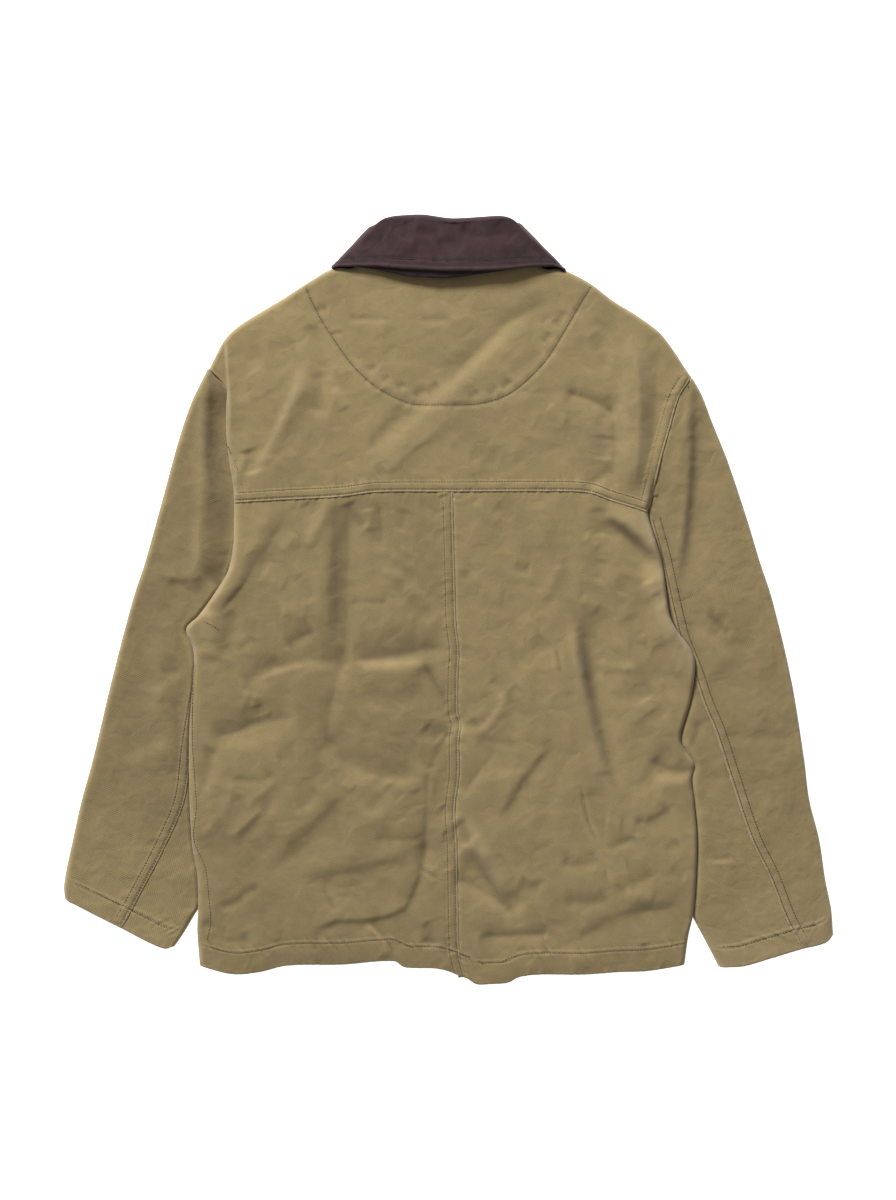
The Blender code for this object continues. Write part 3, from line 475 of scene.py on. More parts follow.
@dataclass(frozen=True)
class Crease:
    """A finer crease along a line, in its own height and width.

    A ridge and a trough are round in section, and a pinch is a sharp valley between two low
    shoulders. A crest and a valley are sharp, and fall or rise over their own reach on each side
    (left, right). A step is high on the line's left and low on its right.
    """

    relief: Relief
    height: float
    width: float
    line: tuple[Pair, ...]
    reach: Pair = (11.0, 11.0)

    def section(self, side: np.ndarray) -> np.ndarray:
        """The height across the crease at signed distances from its line, positive on its left."""
        away = np.abs(side)
        reach = np.where(side > 0, *self.reach)
        if self.relief is Relief.STEP:
            left = 0.5 * (1 + np.tanh(side / self.width))
            return (1.6 * left - 0.6) * np.exp(-away / reach)
        if self.relief in (Relief.CREST, Relief.VALLEY):
            fall = np.exp((self.width - np.hypot(side, self.width)) / reach)
            return fall if self.relief is Relief.CREST else -fall
        if self.relief is Relief.PINCH:
            shoulders = 0.4 * np.exp(-(((away - 2.2 * self.width) / (1.5 * self.width)) ** 2))
            return shoulders - np.exp(-away / self.width)
        bump = np.exp(-((side / self.width) ** 2))
        return bump if self.relief is Relief.RIDGE else -bump

    def heights(self, x: np.ndarray, y: np.ndarray) -> np.ndarray:
        """The height that the crease adds at each place, fading at both ends and far from it."""
        line = PlanLine(self.line, steps=5)
        limit = max(4 * self.width, 3 * max(self.reach))
        spots, side, share = line.nearest(x, y, limit)
        fade = smooth(share / 0.2) * smooth((1 - share) / 0.2) * smooth((1 - np.abs(side) / limit) / 0.4)
        added = np.zeros(x.size)
        added[spots] = self.height * fade * self.section(side)
        return added.reshape(x.shape)


def creases_of(relief: Relief, rows: Sequence[tuple]) -> list[Crease]:
    """Creases of one relief, each from a row of its height, width, line and, if given, its reach."""
    return [Crease(relief, *row) for row in rows]


def creased(x: np.ndarray, y: np.ndarray, table: Sequence[Crease]) -> np.ndarray:
    """The height that a table of creases adds."""
    return sum(crease.heights(x, y) for crease in table)


def folded(x: np.ndarray, y: np.ndarray, table: Sequence[Fold]) -> np.ndarray:
    """The height that a table of folds adds."""
    return sum(fold.height(x, y) for fold in table)


BODY_FOLDS = [
    Fold(100, 300, -88, 122, -4, 4.1, 2.4, 16, 22, 9),
    Fold(-140, 250, -208, 108, 6, 4.1, 2.8, 16, 18, 6),
    Fold(176, 250, 178, 100, -4, 4.1, 2.5, 14, 14, 8),
    Fold(-222, 95, -255, -28, 14, 5.7, 3.8, 12, 16, 7),
    Fold(-114, -55, -112, 98, 2, 6.4, 4.8, 30, 26, 9),
    Fold(-10, -60, -98, -62, 0, 5.5, 4.1, 20, 14, 6),
    Fold(-110, -62, -202, -82, -6, 3.1, 3.1, 20, 16, 5),
    Fold(-156, -122, -234, -142, 8, 2.1, 2.8, 24, 18, 9),
    Fold(-20, -172, -104, -156, 14, 4.1, 3.8, 26, 20, 8),
    Fold(-182, -276, -100, -190, 4, 2.1, 1.9, 22, 24, 8),
    Fold(-154, -274, -24, -250, -4, 2.7, 2.0, 16, 18, 7),
    Fold(-38, -300, -2, -131, 1, 2.6, 2.4, 18, 20, 8),
    Fold(168, -202, 130, -14, 5, 5.5, 5.2, 26, 22, 6),
    Fold(150, -116, 128, -6, 3, 3.1, 5.2, 18, 12, 8),
    Fold(152, 88, 218, 28, 4, 9.2, 6.2, 14, 16, 5),
    Fold(190, 48, 250, -108, -6, 7.8, 4.5, 18, 28, 9),
    Fold(246, -174, 202, -172, 3, 3.8, 4.1, 18, 14, 6),
    Fold(58, -95, 24, -136, 2, 4.1, 2.8, 12, 14, 5),
    Fold(50, -226, 112, -136, 6, 2.5, 1.8, 20, 18, 4),
    Fold(14, -214, 64, -308, -5, 3.1, 3.8, 18, 16, 5),
    Fold(108, -349, 242, -296, 6, 2.0, 1.8, 20, 20, 7),
    Fold(182, -224, 224, -207, -4, 2.4, 2.0, 20, 18, 7),
]
LEFT_SLEEVE_FOLDS = [
    Fold(-288, 18, -236, 14, 2, 1.6, 1.8, 22, 16, 4),
    Fold(-262, -60, -302, -92, 4, 2.1, 2.3, 22, 20, 8),
    Fold(-275, -130, -330, -160, 4, 1.8, 1.8, 26, 20, 8),
]
RIGHT_SLEEVE_FOLDS = [
    Fold(226, 0, 241, 240, -9, 4.2, 3.4, 16, 34, 4.5),
    Fold(296, -62, 254, -16, 4, 2.3, 2.1, 24, 20, 8),
    Fold(292, -258, 246, -252, 3, 1.8, 2.3, 20, 14, 5),
]
BODY_CREASES = [
    *creases_of(Relief.CREST, [
        (1.4, 2, ((-70, 122), (-43, 145), (-11, 172), (10, 192)), (10, 6)),
        (1.8, 2, ((-138, 236), (-163, 186), (-186, 155), (-203, 125), (-211, 112)), (18, 18)),
        (5.4, 3, ((174, 266), (187, 242), (190, 200), (189, 150), (186, 120), (184, 104)), (10, 14)),
        (2.4, 2, ((-211, -176), (-222, -206), (-252, -241)), (10, 18)),
        (1.4, 1.5, ((-171, -182), (-186, -192), (-204, -207)), (5, 7)),
        (1.6, 1.5, ((-183, -205), (-206, -227), (-222, -239)), (5, 8)),
    ]),
    *creases_of(Relief.TROUGH, [
        (1.4, 8, ((-80, 148), (-60, 172), (-36, 192))),
        (1, 7, ((-70, 124), (-62, 132))),
        (0.9, 7, ((60, 226), (80, 236), (96, 250))),
        (0.8, 8.5, ((20, 148), (52, 138))),
        (0.8, 3.5, ((-103, 281), (-78, 282), (-53, 281))),
        (0.8, 3.5, ((-30, 280), (-12, 281), (4, 280))),
        (0.8, 4.5, ((-132, 291), (-120, 291))),
        (1.0, 11, ((-198, 122), (-165, 158), (-135, 205))),
        (1, 7, ((-138, 278), (-129, 248), (-126, 216))),
        (1.8, 8, ((-129, 230), (-128, 207), (-131, 183))),
        (1.6, 8, ((-200, 152), (-193, 126))),
        (1.2, 11, ((-206, 284), (-172, 295), (-140, 302))),
        (0.8, 9, ((-150, 255), (-180, 248))),
        (1.0, 7, ((146, 268), (152, 250), (158, 228))),
        (0.5, 6, ((128, 264), (135, 246), (143, 224))),
        (1.4, 10, ((157, 166), (155, 140))),
        (1.4, 6, ((133, 110), (150, 121), (166, 133))),
        (1.2, 4.5, ((117, 289), (107, 272))),
        (1.2, 4.5, ((103, 268), (95, 256))),
        (1.2, 4.5, ((63, 220), (54, 210))),
        (1, 4.5, ((50, 214), (40, 205))),
        (1, 4.5, ((32, 209), (20, 202))),
        (1.2, 4.5, ((-8, 216), (-22, 206))),
        (1.2, 4.5, ((-22, 212), (-34, 203))),
        (0.9, 4.5, ((-42, 217), (-52, 211))),
        (0.8, 3.5, ((-58, 225), (-66, 218))),
        (0.8, 3.5, ((-72, 234), (-80, 228))),
        (0.8, 3.5, ((-84, 246), (-92, 240))),
        (0.6, 8.5, ((-202, 46), (-178, 30))),
        (1.4, 8, ((-212, -8), (-219, -34), (-222, -58))),
        (1, 6, ((-143, 97), (-133, 84))),
        (1.8, 7, ((-100, 99), (-92, 82), (-82, 72))),
        (1.0, 8, ((-42, 92), (-47, 68))),
        (0.8, 6, ((-30, 96), (-18, 92), (-9, 82))),
        (1.6, 8.5, ((-28, 30), (-46, 15), (-37, -2), (-24, -12), (-13, -22))),
        (0.9, 7, ((-152, 27), (-133, 0))),
        (0.7, 4.5, ((-212, -52), (-193, -36))),
        (1.8, 10, ((-208, -84), (-186, -76), (-164, -58))),
        (1, 6, ((-190, -104), (-186, -114))),
        (1.8, 10, ((-92, -92), (-56, -99), (-20, -88))),
        (1.4, 8, ((-24, -126), (-9, -140))),
        (2.0, 8, ((-236, -144), (-240, -170), (-247, -188))),
        (0.9, 6, ((-250, -188), (-240, -188))),
        (0.9, 6, ((-170, -192), (-186, -214), (-207, -241))),
        (1, 6, ((-130, -187), (-150, -213))),
        (0.9, 7, ((-126, -140), (-130, -160), (-121, -190))),
        (1.0, 8, ((-76, -176), (-67, -192), (-82, -214))),
        (1.4, 8, ((-61, -184), (-47, -199))),
        (1, 7, ((-33, -188), (-28, -208))),
        (1.4, 5, ((-231, -308), (-212, -302), (-202, -293), (-185, -286))),
        (1, 4.5, ((-246, -321), (-219, -333))),
        (0.9, 4.5, ((-239, -334), (-214, -341), (-194, -338))),
        (0.8, 4.5, ((-203, -330), (-204, -352))),
        (0.7, 4.5, ((-167, -328), (-168, -348))),
        (0.7, 4.5, ((-130, -330), (-133, -352))),
        (1.4, 7, ((-24, -322), (-12, -347))),
        (1.4, 7, ((-7, -205), (9, -218))),
        (1.1, 7, ((-6, -236), (8, -241))),
        (0.7, 4.5, ((-216, -178), (-190, -180), (-170, -172))),
        (0.8, 7, ((-172, -158), (-150, -157))),
        (0.8, 7, ((48, 97), (66, 82))),
        (1.4, 10, ((150, 94), (152, 62))),
        (0.9, 6, ((66, 34), (83, 31))),
        (0.9, 6, ((25, 35), (15, 20))),
        (1, 8.5, ((155, 42), (150, 18))),
        (0.9, 7, ((179, 26), (172, 6))),
        (0.8, 10, ((180, -14), (194, -38))),
        (0.6, 9, ((178, -44), (202, -46))),
        (0.9, 11, ((164, -92), (186, -95), (206, -82))),
        (1.0, 12, ((204, -44), (214, -84))),
        (1.4, 12, ((58, -62), (84, -52), (102, -36))),
        (1.0, 7, ((44, -78), (56, -94))),
        (1.2, 7, ((56, -100), (74, -86))),
        (1.2, 6, ((8, -116), (18, -126), (32, -120))),
        (0.8, 9, ((20, -44), (14, -60))),
        (1, 6, ((25, -141), (48, -142), (72, -147))),
        (1.0, 9, ((113, -162), (100, -205), (92, -242))),
        (1.4, 11, ((190, -116), (208, -144), (226, -166))),
        (1.1, 6, ((159, -251), (174, -242), (191, -236))),
        (1.6, 7, ((110, -262), (130, -265), (154, -257))),
        (1.6, 7, ((114, -300), (140, -302), (164, -296))),
        (0.9, 6, ((162, -291), (186, -285), (207, -269))),
        (0.8, 6, ((215, -251), (233, -243))),
        (0.8, 7, ((221, -268), (237, -278))),
        (1, 6, ((59, -305), (72, -327))),
        (1.2, 7, ((71, -282), (93, -290))),
        (2.0, 9, ((9, -257), (34, -272), (52, -292), (67, -313))),
        (1.4, 8.5, ((9, -221), (25, -241))),
        (0.8, 4.5, ((96, -338), (98, -356))),
        (0.8, 4.5, ((196, -342), (200, -360))),
        (0.8, 6, ((70, -346), (84, -362))),
    ]),
    *creases_of(Relief.VALLEY, [
        (2.6, 2, ((-3, 215), (27, 247), (55, 274), (82, 290), (108, 304)), (10, 18)),
        (2.2, 3, ((206, 256), (208, 210), (205, 160), (200, 128)), (10, 8)),
        (2.2, 1.6, ((160, 216), (165, 180), (166, 140), (163, 104)), (12, 7)),
        (3.4, 1.0, ((114, 208), (125, 206), (150, 197), (170, 183)), (7, 9)),
        (1.9, 2, ((-161, 92), (-176, 58), (-191, 38), (-206, 10), (-225, -13)), (18, 8)),
        (3.6, 2, ((-100, 108), (-100, 60), (-101, 10), (-103, -50), (-108, -90)), (20, 14)),
        (2.6, 2, ((-104, -40), (-112, -80), (-121, -128), (-116, -166)), (10, 12)),
        (1.0, 1, ((-70, 98), (-67, 72), (-69, 48)), (5, 5)),
        (1.2, 1, ((-102, -2), (-78, -2), (-56, -3)), (8, 6)),
        (1.9, 1.5, ((-163, -47), (-148, -38), (-132, -29)), (8, 8)),
        (1.4, 1.2, ((-192, -86), (-157, -73), (-136, -67), (-104, -56)), (7, 10)),
        (3.4, 2, ((-242, -139), (-212, -131), (-190, -123), (-150, -115)), (11, 10)),
        (3.8, 1.5, ((-98, -60), (-58, -57), (-28, -50), (4, -47)), (12, 14)),
        (3.6, 1.8, ((-28, -58), (-8, -91), (6, -116), (18, -134)), (6, 8)),
        (2.9, 1.2, ((3, -126), (-8, -148), (-18, -168), (-21, -174)), (9, 12)),
        (3.1, 3, ((-121, -122), (-112, -148), (-94, -166), (-70, -175), (-40, -178), (-20, -173)),
         (14, 12)),
        (2.9, 1.2, ((-19, -160), (-22, -210), (-24, -268)), (10, 8)),
        (1.4, 1.2, ((-76, -236), (-50, -239), (-21, -238)), (6, 8)),
        (2.6, 2.2, ((-21, -236), (-26, -262), (-31, -282), (-44, -310)), (7, 9)),
        (1.0, 1.2, ((-182, -275), (-166, -262), (-148, -250), (-130, -230), (-113, -208), (-98, -190)),
         (12, 22)),
        (1.6, 1, ((-118, -275), (-123, -291), (-110, -313)), (8, 6)),
        (1.7, 1.2, ((-27, -337), (-12, -346), (3, -361)), (7, 7)),
        (2.4, 3, ((122, 8), (134, -55), (144, -92), (156, -136), (164, -177), (177, -203), (188, -226)),
         (20, 16)),
        (1.9, 1.2, ((52, -144), (35, -166), (13, -197)), (8, 8)),
        (1.0, 1.2, ((113, -135), (92, -150), (72, -179), (58, -206), (48, -227)), (12, 10)),
        (2.4, 1.5, ((183, -221), (200, -221), (225, -208)), (10, 8)),
        (3.4, 1.5, ((198, -157), (224, -170), (266, -168)), (9, 16)),
        (1.2, 1.5, ((108, -349), (138, -334), (166, -317), (196, -311), (222, -308), (243, -292)), (10, 8)),
        (3.6, 1.4, ((28, -337), (69, -335), (99, -333), (107, -326)), (8, 14)),
        (3.8, 1.5, ((0, -273), (37, -292), (74, -317)), (12, 12)),
    ]),
    *creases_of(Relief.RIDGE, [
        (0.9, 9, ((38, 160), (60, 150), (72, 138))),
        (1, 6, ((-115, 212), (-108, 203), (-101, 190))),
        (1.2, 4.5, ((-202, 146), (-208, 130), (-214, 114))),
        (0.9, 12, ((-196, 232), (-176, 206))),
        (0.4, 7, ((140, 270), (150, 256))),
        (0.9, 8, ((100, 196), (120, 176))),
        (2.6, 13, ((-182, 98), (-189, 60), (-201, 38), (-216, 14), (-238, -8))),
        (2.0, 12, ((-238, -6), (-236, -34), (-241, -62))),
        (1.2, 6, ((-152, 68), (-166, 48))),
        (1.8, 7, ((-112, 106), (-128, 78), (-143, 50))),
        (1.3, 7, ((-79, 93), (-78, 68))),
        (0.6, 4.5, ((-50, 54), (-38, 48), (-28, 40))),
        (0.6, 4.5, ((-58, 46), (-44, 40), (-31, 30))),
        (0.6, 4.5, ((-68, 31), (-50, 24), (-36, 18))),
        (1.2, 10, ((-188, 28), (-160, 14))),
        (0.9, 8.5, ((-168, -10), (-140, -14))),
        (0.9, 4.5, ((-199, -89), (-208, -112))),
        (0.9, 4.5, ((-189, -93), (-198, -108))),
        (1.0, 12, ((-70, -20), (-30, -26))),
        (0.9, 7, ((-118, -145), (-110, -172))),
        (0.8, 4.5, ((-106, -181), (-95, -190))),
        (1.1, 13, ((-112, -218), (-60, -222))),
        (1, 6, ((26, 99), (40, 86), (53, 77))),
        (1.2, 10, ((93, 100), (94, 48))),
        (0.8, 6, ((135, 65), (149, 51))),
        (2.0, 7, ((156, 96), (180, 78), (200, 62), (212, 46))),
        (0.9, 6, ((113, 37), (102, 14), (87, 1))),
        (1, 7, ((132, 3), (151, -9))),
        (1.2, 9, ((196, 20), (207, 4))),
        (1.2, 12, ((206, -2), (222, -44))),
        (0.9, 7, ((124, -22), (132, -70), (138, -104))),
        (1, 4.5, ((149, -59), (164, -66), (193, -68))),
        (1, 8.5, ((196, -97), (205, -112))),
        (2, 8.5, ((22, -124), (44, -106), (63, -91))),
        (0.8, 10, ((30, 10), (56, 4))),
        (1.2, 10, ((156, -222), (174, -224))),
        (1.3, 12, ((158, -278), (182, -271))),
        (1.4, 8, ((174, -294), (208, -296))),
        (1.6, 7, ((11, -206), (31, -239), (47, -268), (64, -303))),
        (1, 6, ((11, -248), (30, -246))),
        (0.9, 8.5, ((118, -360), (150, -358))),
    ]),
    *creases_of(Relief.PINCH, [
        (1.0, 1.8, ((-118, 266), (-105, 267))),
        (0.6, 2.4, ((-200, 20), (-214, 3), (-228, -14))),
        (0.9, 2, ((-30, -266), (-8, -279))),
        (0.9, 1.8, ((108, -48), (113, -75))),
        (0.9, 1.6, ((132, -184), (140, -222), (150, -244))),
    ]),
    *creases_of(Relief.STEP, [
        (1.7, 2.6,
         ((-140, -331), (-113, -321), (-82, -320), (-48, -311), (-38, -298), (-30, -278), (-25, -256)),
         (14, 12)),
        (2.2, 2, ((-55, -357), (-64, -338), (-82, -322)), (10, 10)),
        (2.6, 1.5, ((-224, 268), (-222, 240), (-220, 205), (-219, 165))),
    ]),
]
LEFT_SLEEVE_CREASES = [
    *creases_of(Relief.TROUGH, [
        (0.5, 3, ((-293, 20), (-263, 19), (-235, 20))),
        (0.7, 5, ((-288, -72), (-263, -72))),
        (0.7, 6, ((-278, -108), (-258, -98))),
    ]),
    *creases_of(Relief.RIDGE, [
        (2.6, 13, ((-288, -30), (-288, -80), (-285, -130), (-281, -178))),
        (3.0, 8, ((-236, 255), (-243, 190), (-246, 110), (-250, 40), (-262, 0))),
    ]),
]
RIGHT_SLEEVE_CREASES = [
    *creases_of(Relief.PINCH, [
        (0.8, 2, ((252, -249), (258, -258), (285, -258), (292, -263))),
    ]),
    *creases_of(Relief.TROUGH, [
        (0.8, 6, ((272, -134), (312, -136), (352, -134))),
        (1.0, 4, ((259, -11), (271, -24), (283, -35))),
        (1.4, 4, ((251, -120), (245, -138), (238, -152))),
    ]),
]
COLLAR_CREASES = [
    *creases_of(Relief.VALLEY, [
        (2.0, 1.5, ((10, 371), (24, 364), (38, 363), (58, 367)), (8, 9)),
        (1.2, 1.5, ((-8, 381), (6, 375), (22, 367)), (6, 9)),
    ]),
    *creases_of(Relief.TROUGH, [
        (1.5, 6, ((48, 378), (57, 369), (66, 360))),
        (1.3, 5, ((-32, 370), (-20, 366), (-8, 365))),
        (1.2, 7, ((-84, 362), (-74, 357), (-62, 358))),
        (1.0, 6, ((-12, 352), (4, 356), (16, 350))),
        (0.9, 6, ((-44, 378), (-40, 368), (-44, 358))),
        (0.9, 5, ((84, 352), (92, 346), (98, 340))),
    ]),
    *creases_of(Relief.RIDGE, [
        (0.9, 8, ((-66, 368), (-48, 360), (-30, 352))),
        (1.0, 7, ((44, 352), (62, 353), (80, 350))),
    ]),
]
# What lies on the table is lifted off it by soft folds
FRONT_CREASES = creases_of(Relief.RIDGE, [
    (2.6, 12, ((-210, -300), (-150, -240), (-110, -150))),
    (1.9, 9, ((-60, -340), (-72, -250), (-58, -180))),
    (2.2, 11, ((-190, -60), (-120, -20), (-60, 30))),
    (1.5, 8, ((-70, 90), (-110, 150), (-120, 220))),
    (1.8, 10, ((60, -330), (90, -260), (150, -210))),
    (2.4, 12, ((200, -290), (160, -180), (90, -120))),
    (1.4, 8, ((50, -80), (74, 0), (66, 70))),
    (2.0, 11, ((190, -20), (130, 40), (90, 120))),
    (1.6, 9, ((60, 160), (100, 200), (150, 210))),
    (1.2, 7, ((-50, 180), (-80, 240), (-130, 270))),
])
LEFT_UNDER_CREASES = creases_of(Relief.RIDGE, [
    (1.6, 11, ((-300, 10), (-250, -10), (-200, -8))),
    (1.3, 9, ((-335, -110), (-290, -130), (-240, -118))),
    (1.5, 12, ((-350, -210), (-310, -240), (-270, -230))),
])
RIGHT_UNDER_CREASES = creases_of(Relief.RIDGE, [
    (1.5, 11, ((312, 0), (262, -14), (214, -6))),
    (1.4, 10, ((345, -120), (300, -146), (250, -138))),
    (1.2, 9, ((362, -230), (322, -256), (280, -244))),
])

# --- The form of the laid-out jacket -------------------------------------------------------------


@dataclass(frozen=True)
class Cloth:
    """The cloth's walls and the sizes of its seams and hems, in mm."""

    wall: float = 1.0
    hem_wall: float = 2.2
    seam_gap: float = 0.24
    centre_seam_gap: float = 0.4
    yoke_seam_gap: float = 0.5
    hem_depth: float = 25.0
    seam_level: float = 0.036
    roof_seam_level: float = 0.08
    collar_wall: float = 1.05
    collar_gap: float = 0.65


@dataclass(frozen=True)
class Loft:
    """Heights of the layers above the table and how they ease into each other, in mm."""

    body: float = 15.5
    shoulder: float = 13.0
    hem: float = 11.8
    over_sleeve: float = 1.0
    side_fall: float = 2.4
    side_reach: float = 13.0
    right_fall: float = 0.7
    sleeve: float = 12.0
    cuff: float = 10.6
    left_rise: Pair = (3.0, 24.0)
    right_rise: Pair = (-5.0, 8.0)
    low_rise: Pair = (-5.0, 8.0)
    sleeve_covered: float = 5.7
    body_over_sleeve: float = 6.3
    front_over_collar: float = 3.5
    placket_lift: float = 2.9
    placket_edge: float = 17.0
    placket_slope: float = 18.0
    overlap_gap: float = 0.45


@dataclass(frozen=True)
class FelledBand:
    """The raised band of a felled or lapped seam, read inwards from its folded edge, in mm."""

    width: float = 10.0
    lift: float = 0.85
    stitch_inset: float = 2.3
    groove: float = 0.7
    groove_width: float = 0.9
    pucker: float = 0.5
    start: float = 0.0

    def height(self, inside: np.ndarray, along: np.ndarray) -> np.ndarray:
        """The height that the band adds on its own panel.

        The band is one step high, round at its edge, drawn down by a groove under each of its two
        rows of stitches, and puckered by them.

        Args:
            inside: distances in from the folded edge.
            along: distances along the seam.

        Returns:
            The added height.
        """
        step = self.lift * smooth((self.width + 2.2 - inside) / 2.2)
        rounding = -0.45 * np.exp(-np.maximum(inside, 0) / 0.7)
        grooves = sum(
            np.exp(-(((inside - at) / self.groove_width) ** 2))
            for at in (self.stitch_inset, self.width - 0.2)
        )
        by_band = np.exp(-(((inside - self.width) / 5.0) ** 2))
        puckers = ripple(along + 0.35 * inside, self.start) * by_band
        edge = ripple(along - 0.4 * inside, self.start + 0.37) * np.exp(-((inside / 3.2) ** 2))
        return step + rounding - self.groove * grooves + self.pucker * (puckers + 0.8 * edge)

    def beside(self, outside: np.ndarray, along: np.ndarray) -> np.ndarray:
        """The dip and puckers that the seam draws into the panel that it is sewn to."""
        fade = np.exp(-np.maximum(outside, 0) / 5.0)
        return self.pucker * ripple(along + 0.3 * outside, self.start + 0.71) * fade - 0.35 * fade**2


@dataclass(frozen=True)
class HemBand:
    """A turned hem with one row of stitches, read in from the cloth's edge, in mm."""

    depth: float = 24.0
    lift: float = 0.55
    stitch_inset: float = 21.5
    groove: float = 0.5
    groove_width: float = 1.0
    pucker: float = 0.6
    start: float = 0.0

    def height(self, inside: np.ndarray, along: np.ndarray) -> np.ndarray:
        """The height that the hem adds: a low step, a groove at the stitches and slanting puckers."""
        step = self.lift * smooth((self.depth + 1.5 - inside) / 2.5)
        rounding = -0.5 * np.exp(-np.maximum(inside, 0) / 0.9)
        groove = np.exp(-(((inside - self.stitch_inset) / self.groove_width) ** 2))
        by_stitches = np.exp(-(((inside - self.stitch_inset) / 7.0) ** 2))
        roping = ripple(along + 0.8 * inside, self.start) * by_stitches
        edge = 0.6 * ripple(along - 0.5 * inside, self.start + 0.5) * np.exp(-((inside / 6.0) ** 2))
        return step + rounding - self.groove * groove + self.pucker * (roping + edge)


class JacketForm:
    """Heights of the jacket's faces over the table, as functions of the plan.

    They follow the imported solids' heights, with stronger folds, finer creases, seam bands and grooves.
    """

    def __init__(self, cloth: Cloth, loft: Loft) -> None:
        """Reads the lines that the heights depend on."""
        self.cloth, self.loft = cloth, loft
        self.left_edge = PlanLine(BODY_LEFT + YOKE_LEFT[1:])
        self.right_edge = PlanLine(BODY_RIGHT + YOKE_RIGHT[1:])
        self.left_bound = PlanLine(LEFT_SLEEVE.inner + LEFT_SLEEVE.armhole[::-1])
        self.right_bound = PlanLine(RIGHT_SLEEVE.inner + RIGHT_SLEEVE.armhole[::-1])
        self.back_roof = PlanLine(SHOULDER_LEFT + NECK_BACK[1:-1] + SHOULDER_RIGHT[::-1])
        self.yoke_seam, self.centre_seam = PlanLine(YOKE_SEAM), PlanLine(CENTRE_SEAM)
        self.hem = PlanLine(HEM_LEFT + HEM_RIGHT[::-1][1:])
        self.half_moon = PlanLine(HALF_MOON, steps=6)
        self.yoke_band, self.centre_band = FelledBand(start=0.1), FelledBand(start=0.5)
        self.armhole_band, self.back_hem = FelledBand(start=0.8, pucker=0.34), HemBand(start=0.3)

    def lift_width(self, y: np.ndarray) -> np.ndarray:
        """How wide the step down off a sleeve is: short beside the armhole."""
        return 22 - 10 * smooth((y - 60) / 40)

    def past_sleeves(self, x: np.ndarray, y: np.ndarray) -> np.ndarray:
        """How far a place is past the inner side of its own half's sleeve, towards the middle."""
        left = np.maximum(self.left_bound.x_at_y(y), self.left_bound.x_at_y(y - 8))
        right = np.minimum(self.right_bound.x_at_y(y), self.right_bound.x_at_y(y - 8))
        return np.where(x < 0, x - left, right - x) - 5

    def on_sleeves(self, x: np.ndarray, y: np.ndarray) -> np.ndarray:
        """1 where the body lies on a sleeve, easing to 0 just past the sleeve's inner side."""
        fade = np.where(x < 0, smooth((234 - y) / 20), smooth((124 - y) / 30))
        return fade * (1 - smooth(self.past_sleeves(x, y) / self.lift_width(y)))

    def body_top(self, x: np.ndarray, y: np.ndarray) -> np.ndarray:
        """Height of the back's outer face, with its folds and creases."""
        loft = self.loft
        height = loft.body - (loft.body - loft.shoulder) * smooth((y - 170) / 160)
        height = height + loft.over_sleeve * self.on_sleeves(x, y) * smooth((75 - y) / 60)
        above_hem = np.maximum(y - self.hem.y_at_x(x), 0)
        height = height - (loft.body - loft.hem) * np.exp(-above_hem / 26)
        inside = np.minimum(x - self.left_edge.x_at_y(y), self.right_edge.x_at_y(y) - x)
        falling = np.where(x < 0, loft.side_fall, loft.right_fall) * (0.25 + 0.75 * smooth((112 - y) / 24))
        height = height - falling * np.exp(-np.maximum(inside, 0) / loft.side_reach)
        return height + folded(x, y, BODY_FOLDS) + creased(x, y, BODY_CREASES)

    def hemmed(self, x: np.ndarray, y: np.ndarray) -> np.ndarray:
        """The height that the back's hem adds."""
        return self.back_hem.height(y - self.hem.y_at_x(x), x)

    def back_left_top(self, x: np.ndarray, y: np.ndarray) -> np.ndarray:
        """The left back: its felled centre seam is raised, and the yoke's seam draws its top edge."""
        centre = self.centre_band.height(self.centre_seam.x_at_y(y) - x, y)
        lapped = self.yoke_band.beside(self.yoke_seam.y_at_x(x) - y, x)
        return self.body_top(x, y) + centre + lapped + self.hemmed(x, y)

    def back_right_top(self, x: np.ndarray, y: np.ndarray) -> np.ndarray:
        """The right back: both of its seams lie under another panel's edge."""
        centre = self.centre_band.beside(x - self.centre_seam.x_at_y(y), y)
        lapped = self.yoke_band.beside(self.yoke_seam.y_at_x(x) - y, x)
        return self.body_top(x, y) + centre + lapped + self.hemmed(x, y)

    def yoke_top(self, x: np.ndarray, y: np.ndarray) -> np.ndarray:
        """The yoke: a lapped seam below, a felled armhole on its right and a sewn half-moon."""
        above = y - self.yoke_seam.y_at_x(x)
        inside = (self.right_edge.x_at_y(y) - x) * 0.95
        open_right = smooth((y - 88) / 14)
        height = self.body_top(x, y) + self.yoke_band.height(above, x)
        height = height + open_right * self.armhole_band.height(inside, y)
        spots, side, share = self.half_moon.nearest(x, y, 14.0)
        sewn = np.zeros(x.size)
        drawn = 0.4 * ripple(share * self.half_moon.length - 0.3 * side, 0.2) * np.exp(-((side / 4.5) ** 2))
        sewn[spots] = drawn - 0.9 * np.exp(-((side / 2.0) ** 2))
        return height + sewn.reshape(x.shape)

    def shoulder_level(self, x: np.ndarray, y: np.ndarray) -> np.ndarray:
        """Height of the seam allowance inside the left armhole's open end."""
        return 10.8 + 0.0 * x

    def body_under(self, x: np.ndarray, y: np.ndarray) -> np.ndarray:
        """Height of the fronts' outer face, which looks down, lifted off the table by soft folds."""
        loft, size = self.loft, np.abs(x)
        on_buttons = loft.placket_lift * (1 - smooth((size - loft.placket_edge) / loft.placket_slope))
        on_collar = loft.front_over_collar * smooth((y - np.interp(size, *COLLAR_EDGE_BELOW) + 38) / 20)
        on_layers = loft.body_over_sleeve * self.on_sleeves(x, y)
        level = np.maximum(np.maximum(on_buttons, on_collar), on_layers)
        return level + creased(x, y, FRONT_CREASES)

